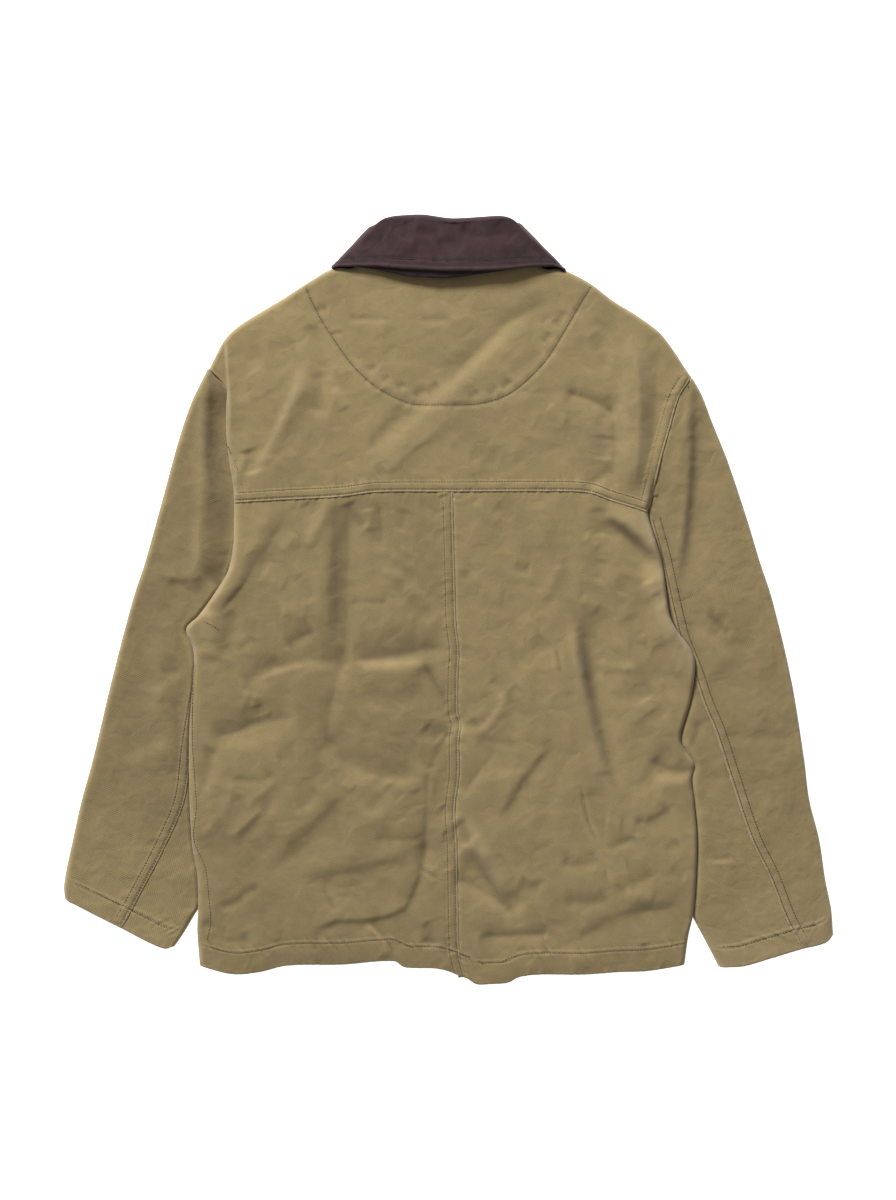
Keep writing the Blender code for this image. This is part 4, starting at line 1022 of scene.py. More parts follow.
    def left_front_under(self, x: np.ndarray, y: np.ndarray) -> np.ndarray:
        """The left front, with the stitch groove along its front edge."""
        edge = np.exp(-(((OVERLAP - x - FRONT_EDGE_STITCH) / 1.1) ** 2))
        return self.body_under(x, y) + 0.35 * edge

    def right_front_under(self, x: np.ndarray, y: np.ndarray) -> np.ndarray:
        """The right front lies inside the left one where they overlap."""
        cloth = self.cloth
        wall = cloth.wall + (cloth.hem_wall - cloth.wall) * smooth((cloth.hem_depth + 20 - (y - HEM_Y)) / 12)
        inside = (wall + 0.3 + self.loft.overlap_gap) * (1 - smooth((x - self.loft.placket_edge) / 12))
        return self.body_under(x, y) + inside

    def sleeve_top(
        self, y: np.ndarray, outside: np.ndarray, rise: Pair, cuff_y: float, joined: np.ndarray,
        joined_height: float,
    ) -> np.ndarray:
        """Height of a sleeve's outer face: low under the body, full beside it, joined at the head.

        Args:
            y: the places' y.
            outside: how far each place lies outside the body's edge.
            rise: where outside the edge the sleeve starts to rise, and over what width.
            cuff_y: where the cuff starts.
            joined: 1 along the sewn part of the armhole, easing to 0 below it.
            joined_height: the height at the armhole where it is joined.

        Returns:
            The height.
        """
        loft = self.loft
        full = loft.cuff + (loft.sleeve - loft.cuff) * smooth((y - cuff_y) / 60)
        risen = smooth((outside - rise[0]) / rise[1])
        height = loft.sleeve_covered + (full - loft.sleeve_covered) * risen
        return height + joined * np.maximum(joined_height - height, 0) * np.exp(-((outside / 26) ** 2))

    def left_sleeve_top(self, x: np.ndarray, y: np.ndarray) -> np.ndarray:
        """The left sleeve's outer face, creased where it lies free of the body."""
        outside = self.left_edge.x_at_y(y) - x
        joined = smooth((y - 183) / 38)
        low, high, share = self.loft.low_rise, self.loft.left_rise, smooth((y - 6) / 22)
        rise = (low[0] + (high[0] - low[0]) * share, low[1] + (high[1] - low[1]) * share)
        height = self.sleeve_top(y, outside, rise, -330, joined, self.loft.shoulder + 1.0)
        folds = folded(x, y, LEFT_SLEEVE_FOLDS)
        return height + (folds + creased(x, y, LEFT_SLEEVE_CREASES)) * smooth((outside - 4) / 14)

    def right_sleeve_top(self, x: np.ndarray, y: np.ndarray) -> np.ndarray:
        """The right sleeve's head stays level with the yoke along the open armhole seam."""
        outside = x - self.right_edge.x_at_y(y)
        joined = smooth((y - 92) / 30)
        height = self.sleeve_top(y, outside, self.loft.right_rise, -345, joined, self.loft.body - 0.5)
        folds = folded(x, y, RIGHT_SLEEVE_FOLDS)
        creases = (folds + creased(x, y, RIGHT_SLEEVE_CREASES)) * smooth((outside - 4) / 14)
        return height + creases + joined * self.armhole_band.beside(outside * 0.95, y)

    def left_sleeve_under(self, x: np.ndarray, y: np.ndarray) -> np.ndarray:
        """The left sleeve's face on the table, lifted off it by soft folds."""
        return creased(x, y, LEFT_UNDER_CREASES)

    def right_sleeve_under(self, x: np.ndarray, y: np.ndarray) -> np.ndarray:
        """The right sleeve's face on the table, lifted off it by soft folds."""
        return creased(x, y, RIGHT_UNDER_CREASES)


def rolled_left(y: np.ndarray) -> np.ndarray:
    """The left side is rolled up to the head of the armhole seam, and open flat above it."""
    return 1 - smooth((y - 200) / 30)


def rolled_right(y: np.ndarray) -> np.ndarray:
    """The right side is rolled up to the armhole seam, and open flat along it."""
    return 1 - smooth((y - 93) / 30)


def rolled_roof(x: np.ndarray) -> np.ndarray:
    """The shoulders are rolled, and the neckline between them is open flat."""
    return smooth((np.abs(x) - 84) / 12)


# --- Surfaces ------------------------------------------------------------------------------------

ROLL = 5.0
ROLL_ARC = ROLL * math.pi / 2
WHOLE_LINE = ((0, 1), (0, 1))

Map = tuple[Sequence[float], Sequence[float]]


class Face:
    """One face of a piece in plan, between a fold line and a far line.

    A row parameter from 0 to 1 is read into shares of the two lines by the two maps.
    """

    def __init__(
        self, near: PlanLine, far: PlanLine, low: PlanLine, high: PlanLine,
        near_map: Map = WHOLE_LINE, far_map: Map = WHOLE_LINE, bend_from: float = 0.0,
    ) -> None:
        """Keeps the four lines round the face.

        Args:
            near: the fold line.
            far: the line opposite to it.
            low: the line at row 0, from near to far.
            high: the line at row 1, from near to far.
            near_map: row parameters and the shares of the near line there.
            far_map: row parameters and the shares of the far line there.
            bend_from: the row from which the rows start to follow the high line.
        """
        self.near, self.far, self.low, self.high = near, far, low, high
        self.near_map, self.far_map, self.bend_from = near_map, far_map, bend_from
        self.low_ends, self.high_ends = low.at(np.array([0.0, 1.0])), high.at(np.array([0.0, 1.0]))

    def ends(self, row: np.ndarray) -> tuple[np.ndarray, np.ndarray]:
        """The points of the near and the far line at each row."""
        return self.near.at(np.interp(row, *self.near_map)), self.far.at(np.interp(row, *self.far_map))

    def width(self, row: np.ndarray) -> np.ndarray:
        """The straight distance across each row."""
        near, far = self.ends(row)
        return np.linalg.norm(far - near, axis=1)

    def at(self, row: np.ndarray, inward: np.ndarray) -> np.ndarray:
        """The plan points this far in from the fold, with a column for each distance.

        Each row is straight between its ends, bent by the low line's bulge near row 0 and by the
        high line's near row 1.

        Args:
            row: the row parameters.
            inward: the distances in from the fold, a row of them for each row parameter.

        Returns:
            A grid of points.
        """
        near, far = self.ends(row)
        f = inward / self.width(row)[:, None]
        g, t = f[..., None], row[:, None, None]
        plain = near[:, None] + (far - near)[:, None] * g
        low_bulge = self.low.at(f) - (self.low_ends[0] * (1 - g) + self.low_ends[1] * g)
        high_bulge = self.high.at(f) - (self.high_ends[0] * (1 - g) + self.high_ends[1] * g)
        bend = np.maximum(t - self.bend_from, 0) / (1 - self.bend_from)
        return plain + (1 - t) * low_bulge + bend * high_bulge


class Wrap:
    """A piece that goes round a fold, from its upper face to its under face."""

    def __init__(self, upper: Face, under: Face, top: Heights, bottom: Heights) -> None:
        """Keeps the two faces in plan and the heights of both."""
        self.upper, self.under, self.top, self.bottom = upper, under, top, bottom

    def place(self, row: np.ndarray, arc: np.ndarray) -> np.ndarray:
        """Points of the outer face at arc distances from the fold, negative on the under face.

        Near the fold the section is half a circle in plan and level, and past it the face lies at
        its own height.
        """
        turn = np.clip(arc / ROLL_ARC, -1, 1) * math.pi / 2
        inward = ROLL * (1 - np.cos(turn)) + np.maximum(np.abs(arc) - ROLL_ARC, 0)
        plan = np.where((arc >= 0)[..., None], self.upper.at(row, inward), self.under.at(row, inward))
        x, y = plan[..., 0], plan[..., 1]
        high, low = self.top(x, y), self.bottom(x, y)
        return np.stack([x, y, (high + low) / 2 + (high - low) / 2 * np.sin(turn)], axis=-1)


class Panel:
    """One face of the body, rolled down to the seams at its side and its shoulder."""

    def __init__(
        self, face: Face, top: Heights, bottom: Heights, side: int,
        rolled: Callable[[np.ndarray], np.ndarray], roof: bool, cloth: Cloth,
    ) -> None:
        """Keeps the face in plan and how it meets its neighbours.

        Args:
            face: the face in plan.
            top: the height of the body's upper face.
            bottom: the height of its under face.
            side: 1 for an upper face and -1 for an under one.
            rolled: how far the side is rolled at y, from 0 to 1.
            roof: True where the face reaches the shoulder seam.
            cloth: the cloth's sizes.
        """
        self.face, self.top, self.bottom, self.side = face, top, bottom, side
        self.rolled, self.roof, self.cloth = rolled, roof, cloth

    def place(self, row: np.ndarray, arc: np.ndarray) -> np.ndarray:
        """Points of the outer face at distances in from the side seam.

        The level runs from the seam's own, near the middle of the body's thickness, up to 1 past
        the roll at the side and the one at the shoulder.
        """
        near = self.face.ends(row)[0]
        turn = np.minimum(arc / ROLL_ARC, 1) * math.pi / 2
        held = self.rolled(near[:, 1])[:, None]
        curled = ROLL * (1 - np.cos(turn)) + np.maximum(arc - ROLL_ARC, 0)
        width = self.face.width(row)[:, None]
        inward = held * curled + (1 - held) * arc * width / (width + ROLL_ARC - ROLL)
        plan = self.face.at(row, inward)
        x, y = plan[..., 0], plan[..., 1]
        side_level = 1 - held * (1 - np.sin(turn))
        depth = np.minimum((1 - row) * ROOF_HEIGHT / ROLL, 1)[:, None] if self.roof else 1.0
        roof_level = 1 - rolled_roof(x) * (1 - np.sqrt(1 - (1 - depth) ** 2))
        near_roof = smooth(row / 0.1 - 9)[:, None] * self.roof
        least = self.cloth.seam_level + (self.cloth.roof_seam_level - self.cloth.seam_level) * near_roof
        level = self.side * (least + (1 - least) * side_level * roof_level)
        high, low = self.top(x, y), self.bottom(x, y)
        return np.stack([x, y, (high + low) / 2 + (high - low) / 2 * level], axis=-1)


def normals_of(points: np.ndarray) -> np.ndarray:
    """Unit normals of a grid of points, from its own neighbours."""
    return unit(np.cross(np.gradient(points, axis=1), np.gradient(points, axis=0)))


# --- Finishes ------------------------------------------------------------------------------------

Colour = tuple[float, float, float]
WEAVE_UV = "weave"
# The attribute that carries wear and tone, with painted highlight on edges and ridges and painted shade in
# hollows.
WEAR_AND_PAINTED_LIGHT = "wear"
LEANING = (0.7071, -0.7071, 0.0)
RISING = (0.7071, 0.7071, 0.0)


class Nodes:
    """A node tree that is written one node a line."""

    def __init__(self, tree: bpy.types.NodeTree) -> None:
        """Keeps the tree."""
        self.tree = tree

    def add(self, kind: str, sockets: dict | None = None, **settings: object) -> bpy.types.Node:
        """Adds a node.

        Args:
            kind: the node's type name.
            sockets: for each input's name or number, a socket to link or a constant to set.
            settings: the node's own properties.

        Returns:
            The node.
        """
        node = self.tree.nodes.new(kind)
        for name, value in settings.items():
            setattr(node, name, value)
        for name, value in (sockets or {}).items():
            if isinstance(value, bpy.types.NodeSocket):
                self.tree.links.new(value, node.inputs[name])
            else:
                node.inputs[name].default_value = value
        return node

    def math(self, operation: str, *values: object) -> bpy.types.NodeSocket:
        """The result of a Math node on sockets or numbers."""
        return self.add("ShaderNodeMath", dict(enumerate(values)), operation=operation).outputs[0]

    def dot(self, vector: bpy.types.NodeSocket, axis: Colour) -> bpy.types.NodeSocket:
        """A vector's length along an axis."""
        made = self.add("ShaderNodeVectorMath", {0: vector, 1: axis}, operation="DOT_PRODUCT")
        return made.outputs["Value"]

    def noise(self, vector: bpy.types.NodeSocket, scale: float, detail: float = 2.0) -> bpy.types.NodeSocket:
        """Noise from 0 to 1 with features about 1 / scale wide."""
        made = self.add("ShaderNodeTexNoise", {"Vector": vector, "Scale": scale, "Detail": detail})
        return made.outputs["Fac"]

    def span(
        self, value: bpy.types.NodeSocket, low: float, high: float, to_low: float, to_high: float
    ) -> bpy.types.NodeSocket:
        """A value read from one range into another and held inside it."""
        sockets = {"Value": value, "From Min": low, "From Max": high, "To Min": to_low, "To Max": to_high}
        return self.add("ShaderNodeMapRange", sockets).outputs[0]

    def mix(self, share: object, one: object, other: object) -> bpy.types.NodeSocket:
        """A colour mixed from two by a share."""
        sockets = {0: share, 6: one, 7: other}
        return self.add("ShaderNodeMix", sockets, data_type="RGBA").outputs[2]


def opaque(colour: Colour) -> tuple[float, float, float, float]:
    """A colour with full alpha, as sockets want it."""
    return (*colour, 1.0)


def new_group(name: str, outputs: Sequence[str], inputs: Sequence[str] = ()) -> bpy.types.NodeTree:
    """An empty shader node group with these number inputs and outputs."""
    tree = bpy.data.node_groups.new(name, "ShaderNodeTree")
    for label in inputs:
        tree.interface.new_socket(name=label, in_out="INPUT", socket_type="NodeSocketFloat")
    for label in outputs:
        tree.interface.new_socket(name=label, in_out="OUTPUT", socket_type="NodeSocketFloat")
    return tree


def millimetres(nodes: Nodes) -> bpy.types.NodeSocket:
    """The cloth's own flat coordinates in mm."""
    flat = nodes.add("ShaderNodeUVMap", uv_map=WEAVE_UV).outputs[0]
    return nodes.add("ShaderNodeVectorMath", {0: flat, "Scale": 1000.0}, operation="SCALE").outputs[0]


def twill_group() -> bpy.types.NodeTree:
    """Twill lines over the cloth's flat coordinates, as a mask from 0 in the grooves to 1.

    A sine runs across lines that lean at 45 degrees, one pitch apart. Slow noise bends the lines,
    a second sine breaks them into floats of yarn, patchy noise makes them stand out unevenly,
    and fine noise adds fibres.

    Returns:
        The group, with the input Pitch in mm and the output Ridge.
    """
    tree = new_group("twill lines", ["Ridge"], ["Pitch"])
    nodes = Nodes(tree)
    pitch = nodes.add("NodeGroupInput").outputs["Pitch"]
    flat = millimetres(nodes)
    bend = nodes.math("MULTIPLY", nodes.math("SUBTRACT", nodes.noise(flat, 0.11), 0.5), 2.6)
    across = nodes.math("ADD", nodes.dot(flat, LEANING), bend)
    turns = nodes.math("MULTIPLY", nodes.math("DIVIDE", across, pitch), 2 * math.pi)
    floats = nodes.math("DIVIDE", nodes.dot(flat, RISING), nodes.math("MULTIPLY", pitch, 1.37))
    wave = nodes.math("SINE", nodes.math("MULTIPLY", floats, 2 * math.pi))
    broken = nodes.math("MULTIPLY_ADD", wave, 0.3, 0.7)
    patchy = nodes.span(nodes.noise(flat, 0.075), 0.36, 0.64, 0.3, 1.0)
    line = nodes.math("MULTIPLY", nodes.math("MULTIPLY", nodes.math("SINE", turns), broken), patchy)
    fibre = nodes.math("MULTIPLY_ADD", nodes.noise(flat, 1.3, 3.0), 0.7, -0.35)
    ridge = nodes.math("ADD", nodes.math("MULTIPLY_ADD", line, 0.42, 0.5), fibre)
    nodes.add("NodeGroupOutput", {"Ridge": nodes.span(ridge, 0.0, 1.0, 0.0, 1.0)})
    return tree


def mottle_group() -> bpy.types.NodeTree:
    """Washed cloth's unevenness: patches in two tints, shade, flecks, and crumpling, from 0 to 1.

    Patch and Shade are slow noises a few centimetres and a centimetre across, each bent by
    another so that it looks cloudy. Shade also has clouds of about 6 cm. Fleck is finer, and Crumple
    is the height of small soft dents.

    Returns:
        The group, with the outputs Patch, Shade, Fleck and Crumple.
    """
    tree = new_group("cloth mottle", ["Patch", "Shade", "Fleck", "Crumple"])
    nodes = Nodes(tree)
    flat = millimetres(nodes)
    bent = nodes.add(
        "ShaderNodeTexNoise", {"Vector": flat, "Scale": 0.06, "Detail": 1.0},
    ).outputs["Color"]
    cloudy = nodes.add(
        "ShaderNodeVectorMath", {0: bent, 1: (14.0, 14.0, 0.0), 2: flat}, operation="MULTIPLY_ADD",
    )
    place = cloudy.outputs[0]
    patch = nodes.span(nodes.noise(place, 0.05, 2.5), 0.36, 0.64, 0.0, 1.0)
    clouds = nodes.math("MULTIPLY", nodes.noise(place, 0.016, 1.5), 0.55)
    shade = nodes.math("MULTIPLY_ADD", nodes.noise(place, 0.11, 3.0), 0.45, clouds)
    shade = nodes.span(shade, 0.36, 0.64, 0.0, 1.0)
    fleck = nodes.span(nodes.noise(flat, 0.42, 2.0), 0.3, 0.7, 0.0, 1.0)
    crumple = nodes.noise(place, 0.030, 2.6)
    nodes.add("NodeGroupOutput", {"Patch": patch, "Shade": shade, "Fleck": fleck, "Crumple": crumple})
    return tree


def grouped(
    nodes: Nodes, build: Callable[[], bpy.types.NodeTree], sockets: dict | None = None
) -> bpy.types.Node:
    """A group node, whose group is built once and shared by the materials."""
    name = build.__name__
    tree = bpy.data.node_groups.get(name)
    if tree is None:
        tree = build()
        tree.name = name
    node = nodes.add("ShaderNodeGroup", node_tree=tree)
    for label, value in (sockets or {}).items():
        node.inputs[label].default_value = value
    return node


def new_material(name: str, roughness: float) -> tuple[bpy.types.Material, Nodes, bpy.types.Node]:
    """A material with a Principled shader: the material, its nodes and the shader."""
    made = bpy.data.materials.new(name)
    made.use_nodes = True
    shader = made.node_tree.nodes["Principled BSDF"]
    shader.inputs["Roughness"].default_value = roughness
    return made, Nodes(made.node_tree), shader


@dataclass(frozen=True)
class ClothFinish:
    """A woven cloth: its colours, how its lines stand out, and its soft gloss."""

    name: str
    groove: Colour
    yarn: Colour
    patch: Colour
    # The worn colour is also the colour of the painted highlight on edges and ridges.
    worn: Colour
    pitch: float
    patchiness: float = 0.54
    shading: float = 0.085
    crumple: float = 0.0034
    relief: float = 0.00017
    roughness: float = 0.92
    sheen: float = 0.3

    def material(self) -> bpy.types.Material:
        """Builds the material: twill lines, mottled patches, lighter wear and painted highlight, and painted
        shade in valleys.
        """
        made, nodes, shader = new_material(self.name, self.roughness)
        ridge = grouped(nodes, twill_group, {"Pitch": self.pitch}).outputs["Ridge"]
        mottle = grouped(nodes, mottle_group)
        cloth = nodes.mix(ridge, opaque(self.groove), opaque(self.yarn))
        patch = nodes.math("MULTIPLY", mottle.outputs["Patch"], self.patchiness)
        cloth = nodes.mix(patch, cloth, opaque(self.patch))
        fleck = nodes.span(mottle.outputs["Fleck"], 0.0, 1.0, 0.965, 1.035)
        shade = nodes.span(mottle.outputs["Shade"], 0.0, 1.0, 1 - self.shading, 1 + self.shading)
        both = nodes.math("MULTIPLY", fleck, shade)
        cloth = nodes.add("ShaderNodeVectorMath", {0: cloth, "Scale": both}, operation="SCALE").outputs[0]
        # Where the wear attribute is positive, the colour moves towards the worn one, as wear and as painted
        # highlight. Where it is negative, the colour is darkened, as tone and as painted shade in creases.
        wear = nodes.add("ShaderNodeAttribute", attribute_name=WEAR_AND_PAINTED_LIGHT).outputs["Fac"]
        lightened_by_wear_and_highlight = nodes.math("MULTIPLY", nodes.math("MAXIMUM", wear, 0.0), 0.5)
        darkened_by_tone_and_shade = nodes.math("MULTIPLY_ADD", nodes.math("MINIMUM", wear, 0.0), 0.38, 1.0)
        cloth = nodes.add("ShaderNodeVectorMath", {0: cloth, "Scale": darkened_by_tone_and_shade}, operation="SCALE").outputs[0]
        cloth = nodes.mix(lightened_by_wear_and_highlight, cloth, opaque(self.worn))
        dents = nodes.add("ShaderNodeBump", {"Height": mottle.outputs["Crumple"], "Distance": self.crumple})
        bump = nodes.add(
            "ShaderNodeBump", {"Height": ridge, "Distance": self.relief, "Normal": dents.outputs[0]}
        )
        nodes.tree.links.new(cloth, shader.inputs["Base Color"])
        nodes.tree.links.new(bump.outputs[0], shader.inputs["Normal"])
        shader.inputs["Sheen Weight"].default_value = self.sheen
        shader.inputs["Sheen Roughness"].default_value = 0.6
        shader.inputs["Specular IOR Level"].default_value = 0.2
        return made


@dataclass(frozen=True)
class ThreadFinish:
    """Sewing thread: one colour, a little lighter here and there."""

    name: str
    colour: Colour
    light: Colour

    def material(self) -> bpy.types.Material:
        """Builds the material, its colour varied from stitch to stitch."""
        made, nodes, shader = new_material(self.name, 0.7)
        place = nodes.add("ShaderNodeTexCoord").outputs["Object"]
        share = nodes.span(nodes.noise(place, 180.0), 0.35, 0.65, 0.0, 1.0)
        nodes.tree.links.new(
            nodes.mix(share, opaque(self.colour), opaque(self.light)), shader.inputs["Base Color"]
        )
        shader.inputs["Sheen Weight"].default_value = 0.2
        return made


@dataclass(frozen=True)
class ButtonFinish:
    """A moulded button: cloudy dark brown with a satin gloss and fine turning marks."""

    name: str
    dark: Colour
    cloud: Colour
    roughness: float

    def material(self) -> bpy.types.Material:
        """Builds the material from cloudy noise, with a faint bump."""
        made, nodes, shader = new_material(self.name, self.roughness)
        place = nodes.add("ShaderNodeTexCoord").outputs["Object"]
        cloud = nodes.span(nodes.noise(place, 140.0, 4.0), 0.38, 0.66, 0.0, 1.0)
        grain = nodes.noise(place, 1600.0, 2.0)
        bump = nodes.add("ShaderNodeBump", {"Height": grain, "Distance": 0.00004})
        nodes.tree.links.new(
            nodes.mix(cloud, opaque(self.dark), opaque(self.cloud)), shader.inputs["Base Color"]
        )
        nodes.tree.links.new(bump.outputs[0], shader.inputs["Normal"])
        return made


TWILL_FINISH = ClothFinish(
    name="khaki twill", groove=(0.156, 0.115, 0.041), yarn=(0.415, 0.317, 0.142),
    patch=(0.334, 0.233, 0.113), worn=(0.45, 0.35, 0.20), pitch=1.75,
)
COLLAR_FINISH = ClothFinish(
    name="brown collar cloth", groove=(0.040, 0.021, 0.022), yarn=(0.070, 0.038, 0.039),
    patch=(0.038, 0.020, 0.021), worn=(0.11, 0.068, 0.066), pitch=1.1, relief=0.00006, sheen=0.1,
)
# The under collar is darker than the top collar: partly its own cloth and partly painted shade, as the strip
# below the collar's edge lies in its shadow.
UNDER_COLLAR_FINISH = ClothFinish(
    name="dark under collar", groove=(0.020, 0.012, 0.014),
    yarn=(0.036, 0.023, 0.027), patch=(0.024, 0.015, 0.018), worn=(0.05, 0.034, 0.038), pitch=1.1,
    relief=0.00006, sheen=0.1,
)
# The threads are darker than the cloths: partly their own colour and partly painted shade of the stitch holes
# and grooves.
KHAKI_THREAD = ThreadFinish("khaki thread", (0.080, 0.057, 0.025), (0.150, 0.110, 0.052))
COLLAR_THREAD = ThreadFinish("brown thread", (0.022, 0.012, 0.012), (0.045, 0.026, 0.026))
BUTTON_FINISH = ButtonFinish("moulded button", (0.028, 0.015, 0.009), (0.075, 0.044, 0.026), 0.34)


# --- Fine meshes ---------------------------------------------------------------------------------


def new_object(
    name: str, points: np.ndarray, faces: np.ndarray, material: bpy.types.Material
) -> bpy.types.Object:
    """A smooth-shaded mesh object from points in mm and faces of one size, none below the floor."""
    resting = np.maximum(points, [-np.inf, -np.inf, 0.0])
    mesh = bpy.data.meshes.new(name)
    mesh.from_pydata((resting * MM).tolist(), [], faces.tolist())
    mesh.shade_smooth()
    mesh.materials.append(material)
    made = bpy.data.objects.new(name, mesh)
    bpy.context.scene.collection.objects.link(made)
    return made


@dataclass(frozen=True)
class Cut:
    """The flat cloth that a piece is cut from: its bounding sizes and its area, in metres."""

    width: float
    length: float
    area: float


@dataclass
class ClothShell:
    """A thin closed shell, made from a grid of points on the cloth's outer face, in mm.

    outwards is a vector for each point that is roughly outward, wall the cloth's thickness for
    each row, flat the cloth's own flat coordinates, and wear how light or dark each point is made:
    up to 1 where it is lighter by wear and painted highlight, and down to -1 where it is darker.
    """

    name: str
    outer: np.ndarray
    outwards: np.ndarray
    wall: np.ndarray
    flat: np.ndarray
    wear: np.ndarray

    def build(self, material: bpy.types.Material) -> bpy.types.Object:
        """Makes the shell: the outer grid, an inner one a wall below it, and a rounded rim.

        The rim has one loop of points halfway through the wall, which stands out from the cloth's
        edge by half a wall.

        Args:
            material: the cloth's material.

        Returns:
            The object, with its flat coordinates as a UV map and its wear as an attribute. The
            attribute adds painted shade in hollows, and lighter ridges as wear and painted highlight.
        """
        normals = normals_of(self.outer)
        inside_out = np.sum(normals * self.outwards) < 0
        normals = -normals if inside_out else normals
        wall = self.wall[:, None, None]
        inner = self.outer - normals * wall
        rows, columns = self.outer.shape[:2]
        spots = np.arange(rows * columns).reshape(rows, columns)
        quads = np.stack([spots[:-1, :-1], spots[:-1, 1:], spots[1:, 1:], spots[1:, :-1]], axis=-1)
        quads = quads.reshape(-1, 4)
        rim = np.concatenate([spots[0], spots[1:, -1], spots[-1, -2::-1], spots[-2:0:-1, 0]])
        bulge = (self.outer + inner) / 2 + self.edge_ways() * wall / 2
        middle = rows * columns * 2 + np.arange(len(rim))
        below, after, middle_after = rim + rows * columns, np.roll(rim, -1), np.roll(middle, -1)
        faces = np.vstack([
            quads, quads[:, ::-1] + rows * columns,
            np.stack([rim, middle, middle_after, after], axis=1),
            np.stack([middle, below, np.roll(below, -1), middle_after], axis=1),
        ])
        faces = faces[:, ::-1] if inside_out else faces
        points = np.vstack([self.outer.reshape(-1, 3), inner.reshape(-1, 3), bulge.reshape(-1, 3)[rim]])
        made = new_object(self.name, points, faces, material)
        # Painted shade and highlight: points below their blurred neighbours, in creases and hollows, are
        # darkened, and points above them, on ridges, are lightened a little, as wear and as painted
        # highlight.
        hollow_shade_and_ridge_light = np.sum((self.outer - softened(self.outer)) * normals, axis=-1) / 1.1
        wear = np.clip(self.wear + np.clip(hollow_shade_and_ridge_light, -1.0, 0.4), -1, 1).ravel()
        flat = self.flat.reshape(-1, 2)
        uv = np.vstack([flat, flat, flat[rim]]) * MM
        layer = made.data.uv_layers.new(name=WEAVE_UV)
        layer.data.foreach_set("uv", uv[faces.ravel()].astype(np.float32).ravel())
        worn = made.data.attributes.new(WEAR_AND_PAINTED_LIGHT, "FLOAT", "POINT")
        worn.data.foreach_set("value", np.concatenate([wear, wear, wear[rim]]).astype(np.float32))
        return made

    def edge_ways(self) -> np.ndarray:
        """For each point on the grid's rim, the way out of the cloth, and nothing elsewhere."""
        ways = np.zeros_like(self.outer)
        ways[0] += unit(self.outer[0] - self.outer[1])
        ways[-1] += unit(self.outer[-1] - self.outer[-2])
        ways[:, 0] += unit(self.outer[:, 0] - self.outer[:, 1])
        ways[:, -1] += unit(self.outer[:, -1] - self.outer[:, -2])
        return unit(ways)


def dress(piece: bpy.types.Object, slot: Slot, node: str | None = None) -> bpy.types.Object:
    """Puts a piece on the jacket's body, in place of a CAD node if named."""
    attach(piece, "root")
    if node:
        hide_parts(node)
    return piece


def lay(
    piece: bpy.types.Object, cut: Cut, with_pieces: Sequence[bpy.types.Object] = ()
) -> None:
    """Takes a piece of cloth, its cut and the pieces that lie with it, and does nothing with them."""
    list(with_pieces)


def softened(points: np.ndarray) -> np.ndarray:
    """A grid of points blurred over three neighbours each way, along its rows and its columns."""
    for axis in (0, 1):
        padding = [(3, 3) if k == axis else (0, 0) for k in range(3)]
        padded, count = np.pad(points, padding, mode="edge"), points.shape[axis]
        points = sum(
            weight / 24 * np.take(padded, np.arange(k, k + count), axis=axis)
            for k, weight in enumerate((1, 3, 5, 6, 5, 3, 1))
        )
    return points


def edge_wear_and_highlight(*distances: np.ndarray) -> np.ndarray:
    """Lighter edges, from 0 to 1 and falling off within 2 mm of the nearest of several edges: wear, and
    painted highlight on raised and rolled edges.
    """
    return np.exp(-((np.minimum.reduce([np.abs(d) for d in distances]) / 2.0) ** 2))


@dataclass
class Stitch:
    """One stitch as a small capsule: how long, wide and high it is, and its pitch, in mm."""

    length: float = 2.5
    pitch: float = 3.0
    width: float = 0.9
    high: float = 0.5
    sides: int = 6

    def shape(self) -> tuple[np.ndarray, np.ndarray]:
        """A capsule along X from two rings and two tips: its points and its triangles.

        Ring k's points turn round X by equal angles, and each side between the rings is split
        into two triangles.

        Returns:
            The points and the faces.
        """
        turn = np.arange(self.sides) * 2 * math.pi / self.sides
        ring = np.stack([np.cos(turn) * self.width / 2, np.sin(turn) * self.high / 2], axis=1)
        near = np.hstack([np.full((self.sides, 1), -self.length * 0.3), ring])
        far = np.hstack([np.full((self.sides, 1), self.length * 0.3), ring])
        tips = np.array([[-self.length / 2, 0, -self.high / 2], [self.length / 2, 0, -self.high / 2]])
        k = np.arange(self.sides)
        after = (k + 1) % self.sides
        first, last = np.full(self.sides, 2 * self.sides), np.full(self.sides, 2 * self.sides + 1)
        faces = np.vstack([
            np.stack([k, k + self.sides, after + self.sides], axis=1),
            np.stack([k, after + self.sides, after], axis=1),
            np.stack([first, k, after], axis=1),
            np.stack([last, after + self.sides, k + self.sides], axis=1),
        ])
        return np.vstack([near, far, tips]), faces


